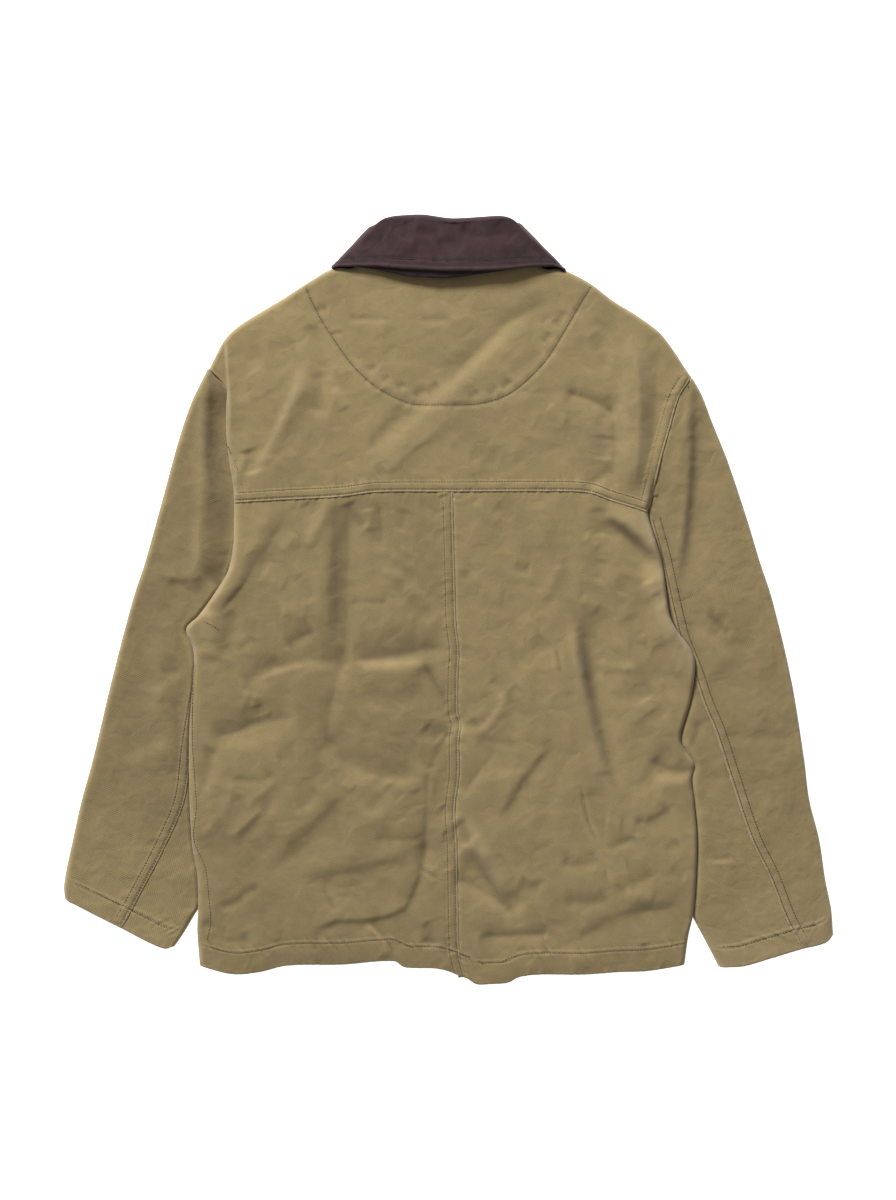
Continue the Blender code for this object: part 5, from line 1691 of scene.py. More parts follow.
class Sewing:
    """Rows of stitches that are gathered into one mesh."""

    def __init__(self, stitch: Stitch) -> None:
        """Keeps the shape of one stitch."""
        self.stitch = stitch
        self.places: list[np.ndarray] = []
        self.ways: list[np.ndarray] = []
        self.ups: list[np.ndarray] = []

    def row(self, line: PlanLine, surface: Heights, up: int = 1) -> None:
        """Sews along a line in plan.

        The stitches lie on the surface, turned with it, and their spacing and aim are a little
        uneven.

        Args:
            line: the line in plan.
            surface: the height of the cloth under it.
            up: 1 on a face that looks up and -1 on one that looks down.
        """
        pitch = self.stitch.pitch
        count = max(int(line.length / pitch), 1)
        share = (np.arange(count) + 0.5 + 0.12 * ripple(np.arange(count) * 3.7, 0.4)) / count
        self.along(lambda s: self.on_surface(line, surface, s), share, pitch / line.length, up)

    def on_surface(self, line: PlanLine, surface: Heights, share: np.ndarray) -> np.ndarray:
        """The points on the surface over a line."""
        plan = line.at(share)
        return np.column_stack([plan, surface(plan[:, 0], plan[:, 1])])

    def along(
        self, place: Callable[[np.ndarray], np.ndarray], share: np.ndarray, step: float, up: int
    ) -> None:
        """Adds a stitch at each share of a path in space.

        Args:
            place: the path's points at shares of it.
            share: where the stitches go.
            step: one stitch's share of the path.
            up: 1 on a face that looks up and -1 on one that looks down.
        """
        ways = unit(place(share + step * 0.35) - place(share - step * 0.35))
        side = unit(np.cross(np.array([0, 0, float(up)]), ways))
        self.places.append(place(share))
        self.ways.append(ways)
        self.ups.append(unit(np.cross(ways, side)))

    def build(self, name: str, material: bpy.types.Material) -> bpy.types.Object:
        """Makes one mesh of all the stitches, each turned along its path."""
        shape, faces = self.stitch.shape()
        places, ways, ups = (np.vstack(q)[:, None] for q in (self.places, self.ways, self.ups))
        sides = np.cross(ups, ways)
        lift = ups * self.stitch.high * 0.3
        points = places + lift + ways * shape[:, 0:1] + sides * shape[:, 1:2] + ups * shape[:, 2:3]
        starts = np.arange(len(places))[:, None, None] * len(shape)
        log.info("%s: %d stitches", name, len(places))
        return new_object(name, points.reshape(-1, 3), (faces[None] + starts).reshape(-1, 3), material)


# --- The jacket's pieces -------------------------------------------------------------------------

HEM_Y = -366.0
BACK_LENGTH = 470.0
ROOF_HEIGHT = 150.0
OVERLAP = 15.0
FRONT_EDGE_STITCH = 8.0
BAND_STOPS = np.arange(14.0, -0.1, -0.8)
BAND_STOPS[-1] = 0.0
PLAIN_STOPS = np.array([9.0, 7.0, 5.2, 3.8, 2.6, 1.6, 0.8, 0.0])
ROLL_STOPS = np.array([0.0, 0.8, 1.7, 2.6, 3.7, 5.0, 6.4, 7.9, 9.6, 11.4, 13.0])
YOKE_SIDE_STOPS = np.concatenate([ROLL_STOPS[:-1], np.arange(12.2, 15.1, 0.9)])
HEM_SPANS = ((0.0, 2.0), (19.0, 26.0))
SHOULDER_TAPE_LINE = [(-238.2, 231.8), (-230, 221.5), (-222, 212), (-219, 204)]


@dataclass(frozen=True)
class BodySide:
    """One half of the body: the lines round its back and its front."""

    name: str
    edge: PlanLine
    knot: float
    hem: PlanLine
    front_hem: PlanLine
    back_far: PlanLine
    front_far: PlanLine
    roof: PlanLine
    rolled: Callable[[np.ndarray], np.ndarray]
    wear_scale: float
    tone: float


def body_sides(form: JacketForm) -> tuple[BodySide, BodySide]:
    """The left and the right half of the body."""
    overlap = [(OVERLAP, HEM_Y), (OVERLAP, -100.0), (OVERLAP, 289.5)]
    gap = form.cloth.centre_seam_gap / 2
    left = BodySide(
        name="left", edge=form.left_edge, knot=form.left_edge.share_of(BODY_LEFT[-1]),
        hem=PlanLine(HEM_LEFT), front_hem=PlanLine(FRONT_HEM_LEFT),
        back_far=PlanLine(moved(CENTRE_SEAM, -gap)), front_far=PlanLine(overlap),
        roof=PlanLine(SHOULDER_LEFT[:-1] + mirrored(NECK_FRONT) + overlap[-1:]), rolled=rolled_left,
        wear_scale=0.3, tone=-0.32,
    )
    right = BodySide(
        name="right", edge=form.right_edge, knot=form.right_edge.share_of(BODY_RIGHT[-1]),
        hem=PlanLine(HEM_RIGHT), front_hem=PlanLine(FRONT_HEM_RIGHT),
        back_far=PlanLine(moved(CENTRE_SEAM, gap)), front_far=PlanLine(mirrored(overlap)),
        roof=PlanLine(SHOULDER_RIGHT[:-1] + NECK_FRONT + mirrored(overlap)[-1:]), rolled=rolled_right,
        wear_scale=0.14, tone=-0.10,
    )
    return left, right


def hem_walls(cloth: Cloth, above_hem: np.ndarray) -> np.ndarray:
    """The wall of each row: thicker in the turned hem, and easing to one layer above it."""
    return cloth.wall + (cloth.hem_wall - cloth.wall) * smooth((cloth.hem_depth - above_hem) / 3.0)


@dataclass
class BackPanel:
    """A lower back panel, from its side seam to the centre back seam."""

    form: JacketForm
    side: BodySide
    top: Heights
    far_stops: np.ndarray
    cut: Cut
    pitch: float = 2.1

    def shell(self) -> ClothShell:
        """The panel's grid: rows up from the hem, columns in from the side seam."""
        form, side = self.form, self.side
        here = form.yoke_seam.share_of(tuple(side.edge.at(np.array(side.knot))))
        centre = form.yoke_seam.share_of(CENTRE_SEAM[-1])
        face = Face(
            side.edge, side.back_far, side.hem, form.yoke_seam.part(here, centre),
            ((0, 1), (0, side.knot)),
        )
        above = graded(BACK_LENGTH, self.pitch, 0.9, (*HEM_SPANS, (463.0, 470.0)))
        row = above / BACK_LENGTH * (1 - form.cloth.yoke_seam_gap / BACK_LENGTH)
        run = ROLL_ARC - ROLL + face.width(row)
        arc = fanned(run, self.pitch, ROLL_STOPS, self.far_stops)
        outer = Panel(face, self.top, form.body_under, 1, side.rolled, False, form.cloth).place(row, arc)
        up = above[:, None] + 0 * arc
        # Towards the yoke, the lighter band along the side edge is widened over the roll: wear and painted
        # highlight on the rolled side.
        from_side = arc * (1 - (1 - side.wear_scale) * smooth((up - 260) / 50))
        wear = edge_wear_and_highlight(up, run[:, None] - arc, from_side) + side.tone
        return ClothShell(
            f"back_{side.name}_cloth", outer, np.array([0.0, 0.0, 1.0]), hem_walls(form.cloth, above),
            outer[..., :2], wear,
        )

    def build(self, material: bpy.types.Material) -> bpy.types.Object:
        """Makes the panel in place of its node."""
        return dress(self.shell().build(material), Slot.TWILL, f"back_{self.side.name}")


@dataclass
class FrontPanel:
    """A front, from its side seam, armhole and shoulder seam to the centre front."""

    form: JacketForm
    side: BodySide
    bottom: Heights
    cut: Cut
    pitch: float = 5.4

    def shell(self) -> ClothShell:
        """The front's grid: rows up from the hem to the shoulder, columns in from the side."""
        form, side = self.form, self.side
        low = graded(BACK_LENGTH, self.pitch, 1.2, HEM_SPANS)
        high = graded(ROOF_HEIGHT, self.pitch * 0.7, 0.8, ((ROOF_HEIGHT - 8, ROOF_HEIGHT),))
        row = np.concatenate([
            low / BACK_LENGTH * side.knot, side.knot + high[1:] / ROOF_HEIGHT * (1 - side.knot),
        ])
        face = Face(side.edge, side.front_far, side.front_hem, side.roof, bend_from=0.62)
        run = ROLL_ARC - ROLL + face.width(row)
        arc = fanned(run, self.pitch, ROLL_STOPS, BAND_STOPS[4:])
        panel = Panel(face, form.body_top, self.bottom, -1, side.rolled, True, form.cloth)
        outer = panel.place(row, arc)
        above = np.concatenate([low, BACK_LENGTH + high[1:]])
        wear = edge_wear_and_highlight(above[:, None] + 0 * arc, run[:, None] - arc, 1.3 * arc)
        flat = outer[..., :2] * np.array([-1.0, 1.0])
        return ClothShell(
            f"front_{side.name}_cloth", outer, np.array([0.0, 0.0, -1.0]),
            hem_walls(form.cloth, above), flat, wear,
        )

    def build(self, material: bpy.types.Material) -> bpy.types.Object:
        """Makes the front in place of its node."""
        return dress(self.shell().build(material), Slot.TWILL, f"front_{self.side.name}")


@dataclass
class Yoke:
    """The back yoke, rolled down to both shoulder seams and over the left armhole."""

    form: JacketForm
    left: BodySide
    right: BodySide
    cut: Cut
    pitch: float = 2.0

    def shell(self) -> ClothShell:
        """The yoke's grid, from two halves that meet in the middle.

        Rows run up from the lapped seam to the shoulders, and columns from the left side to the
        right one. The right half is the same face read from its other side.

        Returns:
            The shell.
        """
        form, left, right = self.form, self.left, self.right
        seam = form.yoke_seam
        centre = seam.share_of(CENTRE_SEAM[-1])
        left_map, right_map = ((0, 1), (left.knot, 1)), ((0, 1), (right.knot, 1))
        from_left = Face(left.edge, right.edge, seam, form.back_roof, left_map, right_map)
        from_right = Face(
            right.edge, left.edge, seam.part(1, 0, 200), form.back_roof.part(1, 0, 400), right_map, left_map
        )
        above = graded(ROOF_HEIGHT, 1.35, 0.5, ((0.0, 8.5), (ROOF_HEIGHT - 6, ROOF_HEIGHT)))
        row = above / ROOF_HEIGHT
        width = ROLL_ARC - ROLL + from_left.width(row)
        halves = []
        for face, share, side in ((from_left, centre, left), (from_right, 1 - centre, right)):
            run = ROLL_ARC - ROLL + from_left.width(row) * share
            arc = fanned(run, self.pitch, YOKE_SIDE_STOPS, np.array([0.0]))
            panel = Panel(face, form.yoke_top, form.body_under, 1, side.rolled, True, form.cloth)
            halves.append((panel.place(row, arc), arc))
        (left_points, left_arc), (right_points, right_arc) = halves
        meet = (left_points[:, -1] + right_points[:, -1]) / 2
        outer = np.hstack([left_points[:, :-1], meet[:, None], right_points[:, -2::-1]])
        from_side = np.hstack([left_arc[:, :-1], width[:, None] / 2, right_arc[:, -2::-1]])
        up = above[:, None] * 1.3 + 0 * from_side
        wear = edge_wear_and_highlight(up, from_side * 1.2, (ROOF_HEIGHT - above)[:, None] * 1.3 + 0 * from_side)
        return ClothShell(
            "yoke_cloth", outer, np.array([0.0, 0.0, 1.0]), np.full(len(row), form.cloth.wall),
            outer[..., :2] + np.array([300.0, 40.0]), wear,
        )

    def build(self, material: bpy.types.Material) -> bpy.types.Object:
        """Makes the yoke in place of its node."""
        return dress(self.shell().build(material), Slot.TWILL, "yoke")


@dataclass
class Sleeve:
    """A two-piece sleeve: the top sleeve round its outer fold, the under one round its inner."""

    form: JacketForm
    name: str
    lines: SleeveLines
    top: Heights
    bottom: Heights
    top_cut: Cut
    under_cut: Cut
    pitch: float = 2.5
    under_pitch: float = 5.4
    tone: float = -0.2
    cuff_tone: float = 0.6
    cuff_reach: float = 130.0
    fold_wear: float = 6.0

    def __post_init__(self) -> None:
        """Reads the sleeve's lines and the faces between them."""
        lines = self.lines
        self.half = 1.0 if lines.outer[0][0] > 0 else -1.0
        self.outer, self.inner, self.seam = (PlanLine(q) for q in (lines.outer, lines.inner, lines.seam))
        self.cuff = PlanLine(lines.cuff)
        self.high_far = PlanLine([*lines.seam, *lines.armhole[-2:0:-1]])
        self.low_far = PlanLine([*lines.front, *lines.front_armhole[-2:0:-1]])
        self.knot = self.high_far.share_of(lines.seam[-1])
        self.low_knot = self.low_far.share_of(lines.front[-1])
        self.band = FelledBand(start=0.3 + 0.2 * self.half, pucker=0.3)
        self.hem = HemBand(start=0.6 + 0.2 * self.half, stitch_inset=20.5)

    def cuff_part(self, end: Pair, start: Pair) -> PlanLine:
        """The cuff's line between two of its points."""
        return self.cuff.part(self.cuff.share_of(start), self.cuff.share_of(end))

    def closing(self, a: Pair, b: Pair) -> PlanLine:
        """A straight line that closes a face at the armhole."""
        return PlanLine([a, ((a[0] + b[0]) / 2, (a[1] + b[1]) / 2), b])

    def top_faces(self) -> tuple[Face, Face]:
        """The top sleeve's upper and under face."""
        lines, low_map = self.lines, ((0, self.knot, 1), (0, self.low_knot, 1))
        head = self.closing(lines.outer[-1], lines.armhole[1])
        front_head = self.closing(lines.outer[-1], lines.front_armhole[1])
        upper = Face(self.outer, self.high_far, self.cuff_part(lines.seam[0], lines.outer[0]), head)
        under = Face(
            self.outer, self.low_far, self.cuff_part(lines.front[0], lines.outer[0]), front_head,
            far_map=low_map,
        )
        return upper, under

    def under_faces(self) -> tuple[Face, Face]:
        """The under sleeve's upper and under face."""
        lines = self.lines
        upper = Face(
            self.inner, self.high_far, self.cuff_part(lines.seam[0], lines.inner[0]),
            self.closing(lines.inner[-1], lines.seam[-1]), far_map=((0, 1), (0, self.knot)),
        )
        under = Face(
            self.inner, self.low_far, self.cuff_part(lines.front[0], lines.inner[0]),
            self.closing(lines.inner[-1], lines.front[-1]), far_map=((0, 1), (0, self.low_knot)),
        )
        return upper, under

    def shell(self, name: str, faces: tuple[Face, Face], row: np.ndarray, is_top: bool) -> ClothShell:
        """A sleeve piece's grid: rows up from the cuff, columns round the fold.

        Args:
            name: the piece's name.
            faces: its upper and its under face.
            row: the row parameters.
            is_top: True for the top sleeve, which laps over the under one.

        Returns:
            The shell.
        """
        upper, under = faces
        gap, turn = self.form.cloth.seam_gap, ROLL_ARC - ROLL
        above = row * (self.high_far.length if is_top else self.seam.length)
        high_run, low_run = turn + upper.width(row) - gap, turn + under.width(row) - gap
        high = fanned(high_run, self.pitch, ROLL_STOPS, BAND_STOPS if is_top else PLAIN_STOPS)
        low = fanned(low_run, self.under_pitch, ROLL_STOPS, PLAIN_STOPS[2:])
        arc = np.hstack([high[:, ::-1], -low[:, 1:]])
        outer = Wrap(upper, under, self.top, self.bottom).place(row, arc)
        to_seam, up = high_run[:, None] - arc, above[:, None] + 0 * arc
        sewn = self.band.height(to_seam, up) if is_top else self.band.beside(to_seam, up)
        on_top = smooth(arc / ROLL_ARC - 1)
        below_head = smooth((self.seam.length - 6 - up) / 8)
        outer[..., 2] += on_top * sewn * smooth((up - 2) / 3) * below_head
        outer[..., 2] += (on_top - 0.3 * smooth(-arc / ROLL_ARC - 1)) * self.hem.height(up, arc)
        ways = np.stack([0 * arc, 0 * arc, np.sign(arc)], axis=-1)
        tone = self.tone + self.cuff_tone * smooth(1 - up / self.cuff_reach)
        wear = edge_wear_and_highlight(up, to_seam + 5 * (1 - is_top), self.fold_wear * arc) + tone
        flat = np.stack([-self.half * arc + 500.0 * self.half, up], axis=-1)
        return ClothShell(name, outer, ways, hem_walls(self.form.cloth, above), flat, wear)

    def build(self, material: bpy.types.Material) -> tuple[bpy.types.Object, bpy.types.Object]:
        """Makes both pieces in place of their nodes."""
        along = graded(self.seam.length, self.pitch, 1.0, HEM_SPANS)
        low_row = along / self.seam.length
        head = self.high_far.length * (1 - self.knot)
        high_row = self.knot + graded(head, self.pitch, 1.0, ((head - 3, head),))[1:] / head * (1 - self.knot)
        top_row = np.concatenate([low_row * self.knot, high_row])
        top = self.shell(f"top_sleeve_{self.name}_cloth", self.top_faces(), top_row, True)
        under = self.shell(f"under_sleeve_{self.name}_cloth", self.under_faces(), low_row, False)
        return (
            dress(top.build(material), Slot.TWILL, f"top_sleeve_{self.name}"),
            dress(under.build(material), Slot.TWILL, f"under_sleeve_{self.name}"),
        )


@dataclass(frozen=True)
class Station:
    """A section of the collar: a point n on the neckline, r in the roll, e on the fall's edge.

    half is half the roll's thickness, and turn how far the fall has turned under, in degrees.
    """

    nx: float
    ny: float
    nz: float
    rx: float
    ry: float
    rz: float
    ex: float
    ey: float
    ez: float
    half: float
    turn: float

    def numbers(self) -> list[float]:
        """The station's eleven numbers in order."""
        return [getattr(self, label) for label in self.__dataclass_fields__]


COLLAR_STATIONS = [
    Station(-4, 294, 6.2, -4, 304, 4.4, -66, 262, 0.25, 4.1, 180),
    Station(-35, 298, 6.2, -30, 313, 4.4, -81, 275, 0.25, 4.1, 180),
    Station(-66, 308.5, 6.2, -56, 330, 4.4, -98, 292, 0.25, 4.1, 180),
    Station(-92, 326.5, 6.6, -73, 354, 4.4, -115.5, 321, 0.4, 4.1, 175),
    Station(-99, 335, 7.5, -76, 367.5, 4.5, -116.5, 331, 2.4, 4.2, 162),
    Station(-100, 335.5, 8.4, -77.8, 369, 8.8, -117.2, 333, 8.5, 4.2, 90),
    Station(-99, 335, 9.3, -73.6, 372.6, 13.4, -115, 332.4, 14.5, 4.3, 18),
    Station(-84, 342, 9.8, -64.5, 378.2, 15.2, -103, 333, 17.0, 5.0, 8),
    Station(-58, 348, 10.0, -51, 379.9, 15.6, -78, 333, 20.3, 5.2, 4),
    Station(-30, 351, 10.0, -28, 379.6, 16.0, -40, 330, 23.3, 5.6, 0),
    Station(0, 352, 10.0, 6, 375.6, 16.0, 4, 328, 24.6, 5.6, 0),
    Station(30, 351, 10.0, 34, 377.6, 16.0, 48, 328.8, 23.6, 5.6, 0),
    Station(58, 348, 10.0, 55, 379.2, 15.6, 82, 332, 20.3, 5.2, 4),
    Station(84, 342, 9.8, 65, 377.8, 15.2, 104, 333.4, 17.0, 5.0, 8),
    Station(99, 335, 9.3, 69.4, 374.6, 13.4, 116.8, 330, 14.5, 4.3, 18),
    Station(100, 335.5, 8.4, 71.6, 372.2, 8.8, 119, 330, 8.5, 4.2, 90),
    Station(99, 335, 7.5, 73, 370, 4.5, 118.4, 328, 2.4, 4.2, 162),
    Station(92, 326.5, 6.6, 73, 354, 4.4, 116.5, 320, 0.4, 4.1, 175),
    Station(66, 308.5, 6.2, 56, 330, 4.4, 98, 292, 0.25, 4.1, 180),
    Station(35, 298, 6.2, 30, 313, 4.4, 81, 275, 0.25, 4.1, 180),
    Station(4, 294, 6.2, 4, 304, 4.4, 66, 262, 0.25, 4.1, 180),
]


def eased(table: np.ndarray, steps: Sequence[int]) -> np.ndarray:
    """Rows between the rows of a table, by cubics that never pass their ends.

    The slope at a row is the harmonic mean of the slopes on its two sides, or zero where they
    differ in sign.

    Args:
        table: the rows.
        steps: how many rows to make from each row to the next.

    Returns:
        The rows, the last one included.
    """
    change = np.diff(table, axis=0)
    before, after = change[:-1], change[1:]
    agree = before * after > 0
    inner = np.where(agree, 2 * before * after / np.where(agree, before + after, 1), 0)
    slope = np.vstack([change[:1], inner, change[-1:]])
    pieces = []
    for k, count in enumerate(steps):
        t = np.linspace(0, 1, count, endpoint=False)[:, None]
        t2, t3 = t**2, t**3
        pieces.append(
            (2 * t3 - 3 * t2 + 1) * table[k] + (t3 - 2 * t2 + t) * slope[k]
            + (3 * t2 - 2 * t3) * table[k + 1] + (t3 - t2) * slope[k + 1]
        )
    return np.vstack([*pieces, table[-1:]])


@dataclass
class Collar:
    """The turned-down collar: its top layer, and the under collar that shows below its edge."""

    form: JacketForm
    top_cut: Cut
    under_cut: Cut
    pitch: float = 2.3
    stitch_inset: float = 10.0

    def __post_init__(self) -> None:
        """Eases the stations into close sections."""
        table = np.array([station.numbers() for station in COLLAR_STATIONS])
        gone = np.linalg.norm(np.diff(table[:, 6:9], axis=0), axis=1)
        table = eased(table, [max(int(g / self.pitch), 5) for g in gone])
        self.neck, self.roll, self.edge = table[:, 0:3], table[:, 3:6], table[:, 6:9]
        self.half_roll, turned = table[:, 9:10], np.radians(table[:, 10:])
        fall = unit(self.edge - self.roll)
        aside = unit(np.stack([fall[:, 1], -fall[:, 0], np.zeros(len(fall))], axis=1))
        aside = np.where(aside[:, 1:2] < 0, -aside, aside)
        self.across = (np.cos(turned) * np.array([0, 0, 1.0]) + np.sin(turned) * aside) * self.half_roll
        along = np.sum(fall * self.across, axis=1, keepdims=True) / self.half_roll**2
        self.away = -unit(fall - along * self.across) * self.half_roll

    def grid(self) -> tuple[np.ndarray, np.ndarray, np.ndarray]:
        """The visible face: up the stand, round the roll and down the fall.

        The stand is straight, the roll half an ellipse, and the fall straight with fixed stops
        back from its edge.

        Returns:
            The points, rough outward vectors, and each point's distance from the fall's edge.
        """
        stand = np.linspace(0, 1, 8)[:-1][None, :, None]
        start, end = self.roll - self.across, self.roll + self.across
        first = self.neck[:, None] * (1 - stand) + start[:, None] * stand
        turn = np.linspace(0, math.pi, 19)[:-1][None, :, None]
        second = (
            self.roll[:, None] - self.across[:, None] * np.cos(turn) + self.away[:, None] * np.sin(turn)
        )
        run = np.linalg.norm(self.edge - end, axis=1)
        down = fanned(run, self.pitch, np.array([0.0, 1.2]), BAND_STOPS)
        way = unit(self.edge - end)[:, None]
        third = end[:, None] + way * down[..., None]
        points = np.concatenate([first, second, third], axis=1)
        outwards = np.concatenate([
            np.broadcast_to(-self.across[:, None], first.shape),
            -self.across[:, None] * np.cos(turn) + self.away[:, None] * np.sin(turn),
            np.broadcast_to(self.across[:, None], third.shape),
        ], axis=1)
        from_edge = np.hstack([
            np.full(first.shape[:2], 200.0), np.full(second.shape[:2], 100.0), run[:, None] - down,
        ])
        return points, unit(outwards), from_edge

    def relief(self, points: np.ndarray, from_edge: np.ndarray) -> np.ndarray:
        """How far the top collar stands out: its edge seam, stitch groove, dents and soft lumps."""
        x, y = points[..., 0], points[..., 1]
        groove = -0.4 * np.exp(-(((from_edge - self.stitch_inset) / 1.2) ** 2))
        by_stitches = np.exp(-(((from_edge - self.stitch_inset) / 4) ** 2))
        pucker = 0.4 * ripple(0.55 * x + 0.3 * from_edge, 0.9) * by_stitches
        edge = -0.5 * np.exp(-from_edge / 0.8) + 0.5 * np.exp(-(((from_edge - 2.4) / 1.4) ** 2))
        soft = 0.28 * np.sin(x / 9.1 + 1.2 * np.sin(y / 7.3)) * np.sin(y / 6.7 + x / 23.0)
        dents = creased(x, y, COLLAR_CREASES) * (from_edge < 90)
        return groove + pucker + edge + soft + dents

    def build(
        self, top_material: bpy.types.Material, under_material: bpy.types.Material
    ) -> tuple[bpy.types.Object, bpy.types.Object]:
        """Makes both layers in place of their nodes.

        The under collar is the same face moved in by a wall and a gap, with its edge let out.

        Args:
            top_material: the top collar's material.
            under_material: the under collar's material.

        Returns:
            The top collar and the under collar.
        """
        cloth = self.form.cloth
        points, outwards, from_edge = self.grid()
        wall = np.full(len(points), cloth.collar_wall)
        normals = normals_of(points)
        normals = normals * np.sign(np.sum(normals * outwards))
        flat = np.stack([
            points[:, -1:, 0] + 0 * from_edge, np.cumsum(np.pad(
                np.linalg.norm(np.diff(points, axis=1), axis=2), ((0, 0), (1, 0))
            ), axis=1),
        ], axis=-1)
        outer = points + normals * self.relief(points, from_edge)[..., None]
        top = ClothShell("top_collar_cloth", outer, outwards, wall, flat, edge_wear_and_highlight(from_edge - 1.0))
        inside = outer - normals * (cloth.collar_wall + cloth.collar_gap)
        inside = np.concatenate([inside[:, ::2], inside[:, -1:]], axis=1)
        fall = unit(inside[:, -1] - inside[:, -6])
        shown = np.interp(self.edge[:, 0], *UNDER_COLLAR_SHOWN) * (self.edge[:, 2] > 8)
        reach = np.linspace(0, 1, 6)[1:, None] * shown
        sag = np.array([0, 0, 1.6]) * (reach.T / 7)[..., None]
        added = inside[:, -1:] + fall[:, None] * reach.T[..., None] - sag
        inside = np.concatenate([inside, added], axis=1)
        inner_flat = np.stack([
            points[:, -1:, 0] + np.zeros(inside.shape[:2]),
            np.broadcast_to(np.arange(inside.shape[1]) * 3.0, inside.shape[:2]),
        ], axis=-1)
        ways = np.concatenate([outwards[:, ::2], np.repeat(outwards[:, -1:], 6, axis=1)], axis=1)
        under = ClothShell(
            "under_collar_cloth", inside, ways, wall, inner_flat, np.zeros(inside.shape[:2])
        )
        return (
            dress(top.build(top_material), Slot.COLLAR, "top_collar"),
            dress(under.build(under_material), Slot.UNDER_COLLAR, "under_collar"),
        )

    def sew(self, sewing: Sewing) -> None:
        """Adds the row of stitches along the fall's edge."""
        points, outwards, from_edge = self.grid()
        column = int(np.argmin(np.abs(from_edge[0] - self.stitch_inset)))
        normals = normals_of(points)
        path = points[:, column] - 0.3 * normals[:, column] * np.sign(np.sum(normals * outwards))
        run = np.concatenate([[0.0], np.cumsum(np.linalg.norm(np.diff(path, axis=0), axis=1))])
        top = np.abs(path[:, 0]) < 108
        low, high = run[top][0] / run[-1], run[top][-1] / run[-1]

        def place(share: np.ndarray) -> np.ndarray:
            """The point at a share of the row."""
            here = (low + np.clip(share, 0, 1) * (high - low)) * run[-1]
            return np.stack([np.interp(here, run, path[:, k]) for k in range(3)], axis=-1)

        count = int((high - low) * run[-1] / sewing.stitch.pitch)
        sewing.along(place, (np.arange(count) + 0.5) / count, 1 / count, 1)


@dataclass
class SeamTape:
    """The seam allowance under a seam: a narrow strip that closes the gap between two panels."""

    name: str
    line: PlanLine
    surface: Heights
    low_side: float = -7.0
    high_side: float = 7.0
    depth: float = 1.75

    def build(self, material: bpy.types.Material) -> bpy.types.Object:
        """Makes the strip: rows along the seam and five columns across it."""
        share = np.linspace(0.004, 0.996, max(int(self.line.length / 4), 8))
        ahead = unit(self.line.at(share + 0.003) - self.line.at(share - 0.003))
        left = np.stack([-ahead[:, 1], ahead[:, 0]], axis=1)
        across = np.linspace(self.low_side, self.high_side, 5)
        plan = self.line.at(share)[:, None] + left[:, None] * across[None, :, None]
        x, y = plan[..., 0], plan[..., 1]
        outer = np.stack([x, y, self.surface(x, y) - self.depth], axis=-1)
        shell = ClothShell(
            self.name, outer, np.array([0.0, 0.0, 1.0]), np.full(len(share), 0.6), outer[..., :2],
            np.zeros(x.shape),
        )
        return dress(shell.build(material), Slot.TWILL)


@dataclass(frozen=True)
class Buttons:
    """The front buttons, which stay as they are packed."""

    names: tuple[str, ...]
    finish: ButtonFinish

    def dress(self, frame: dict) -> list[bpy.types.Object]:
        """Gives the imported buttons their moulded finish."""
        material = self.finish.material()
        for name in self.names:
            node = frame["nodes"][name]
            node.data.materials.clear()
            node.data.materials.append(material)
        return [frame["nodes"][name] for name in self.names]


# --- Sewing --------------------------------------------------------------------------------------


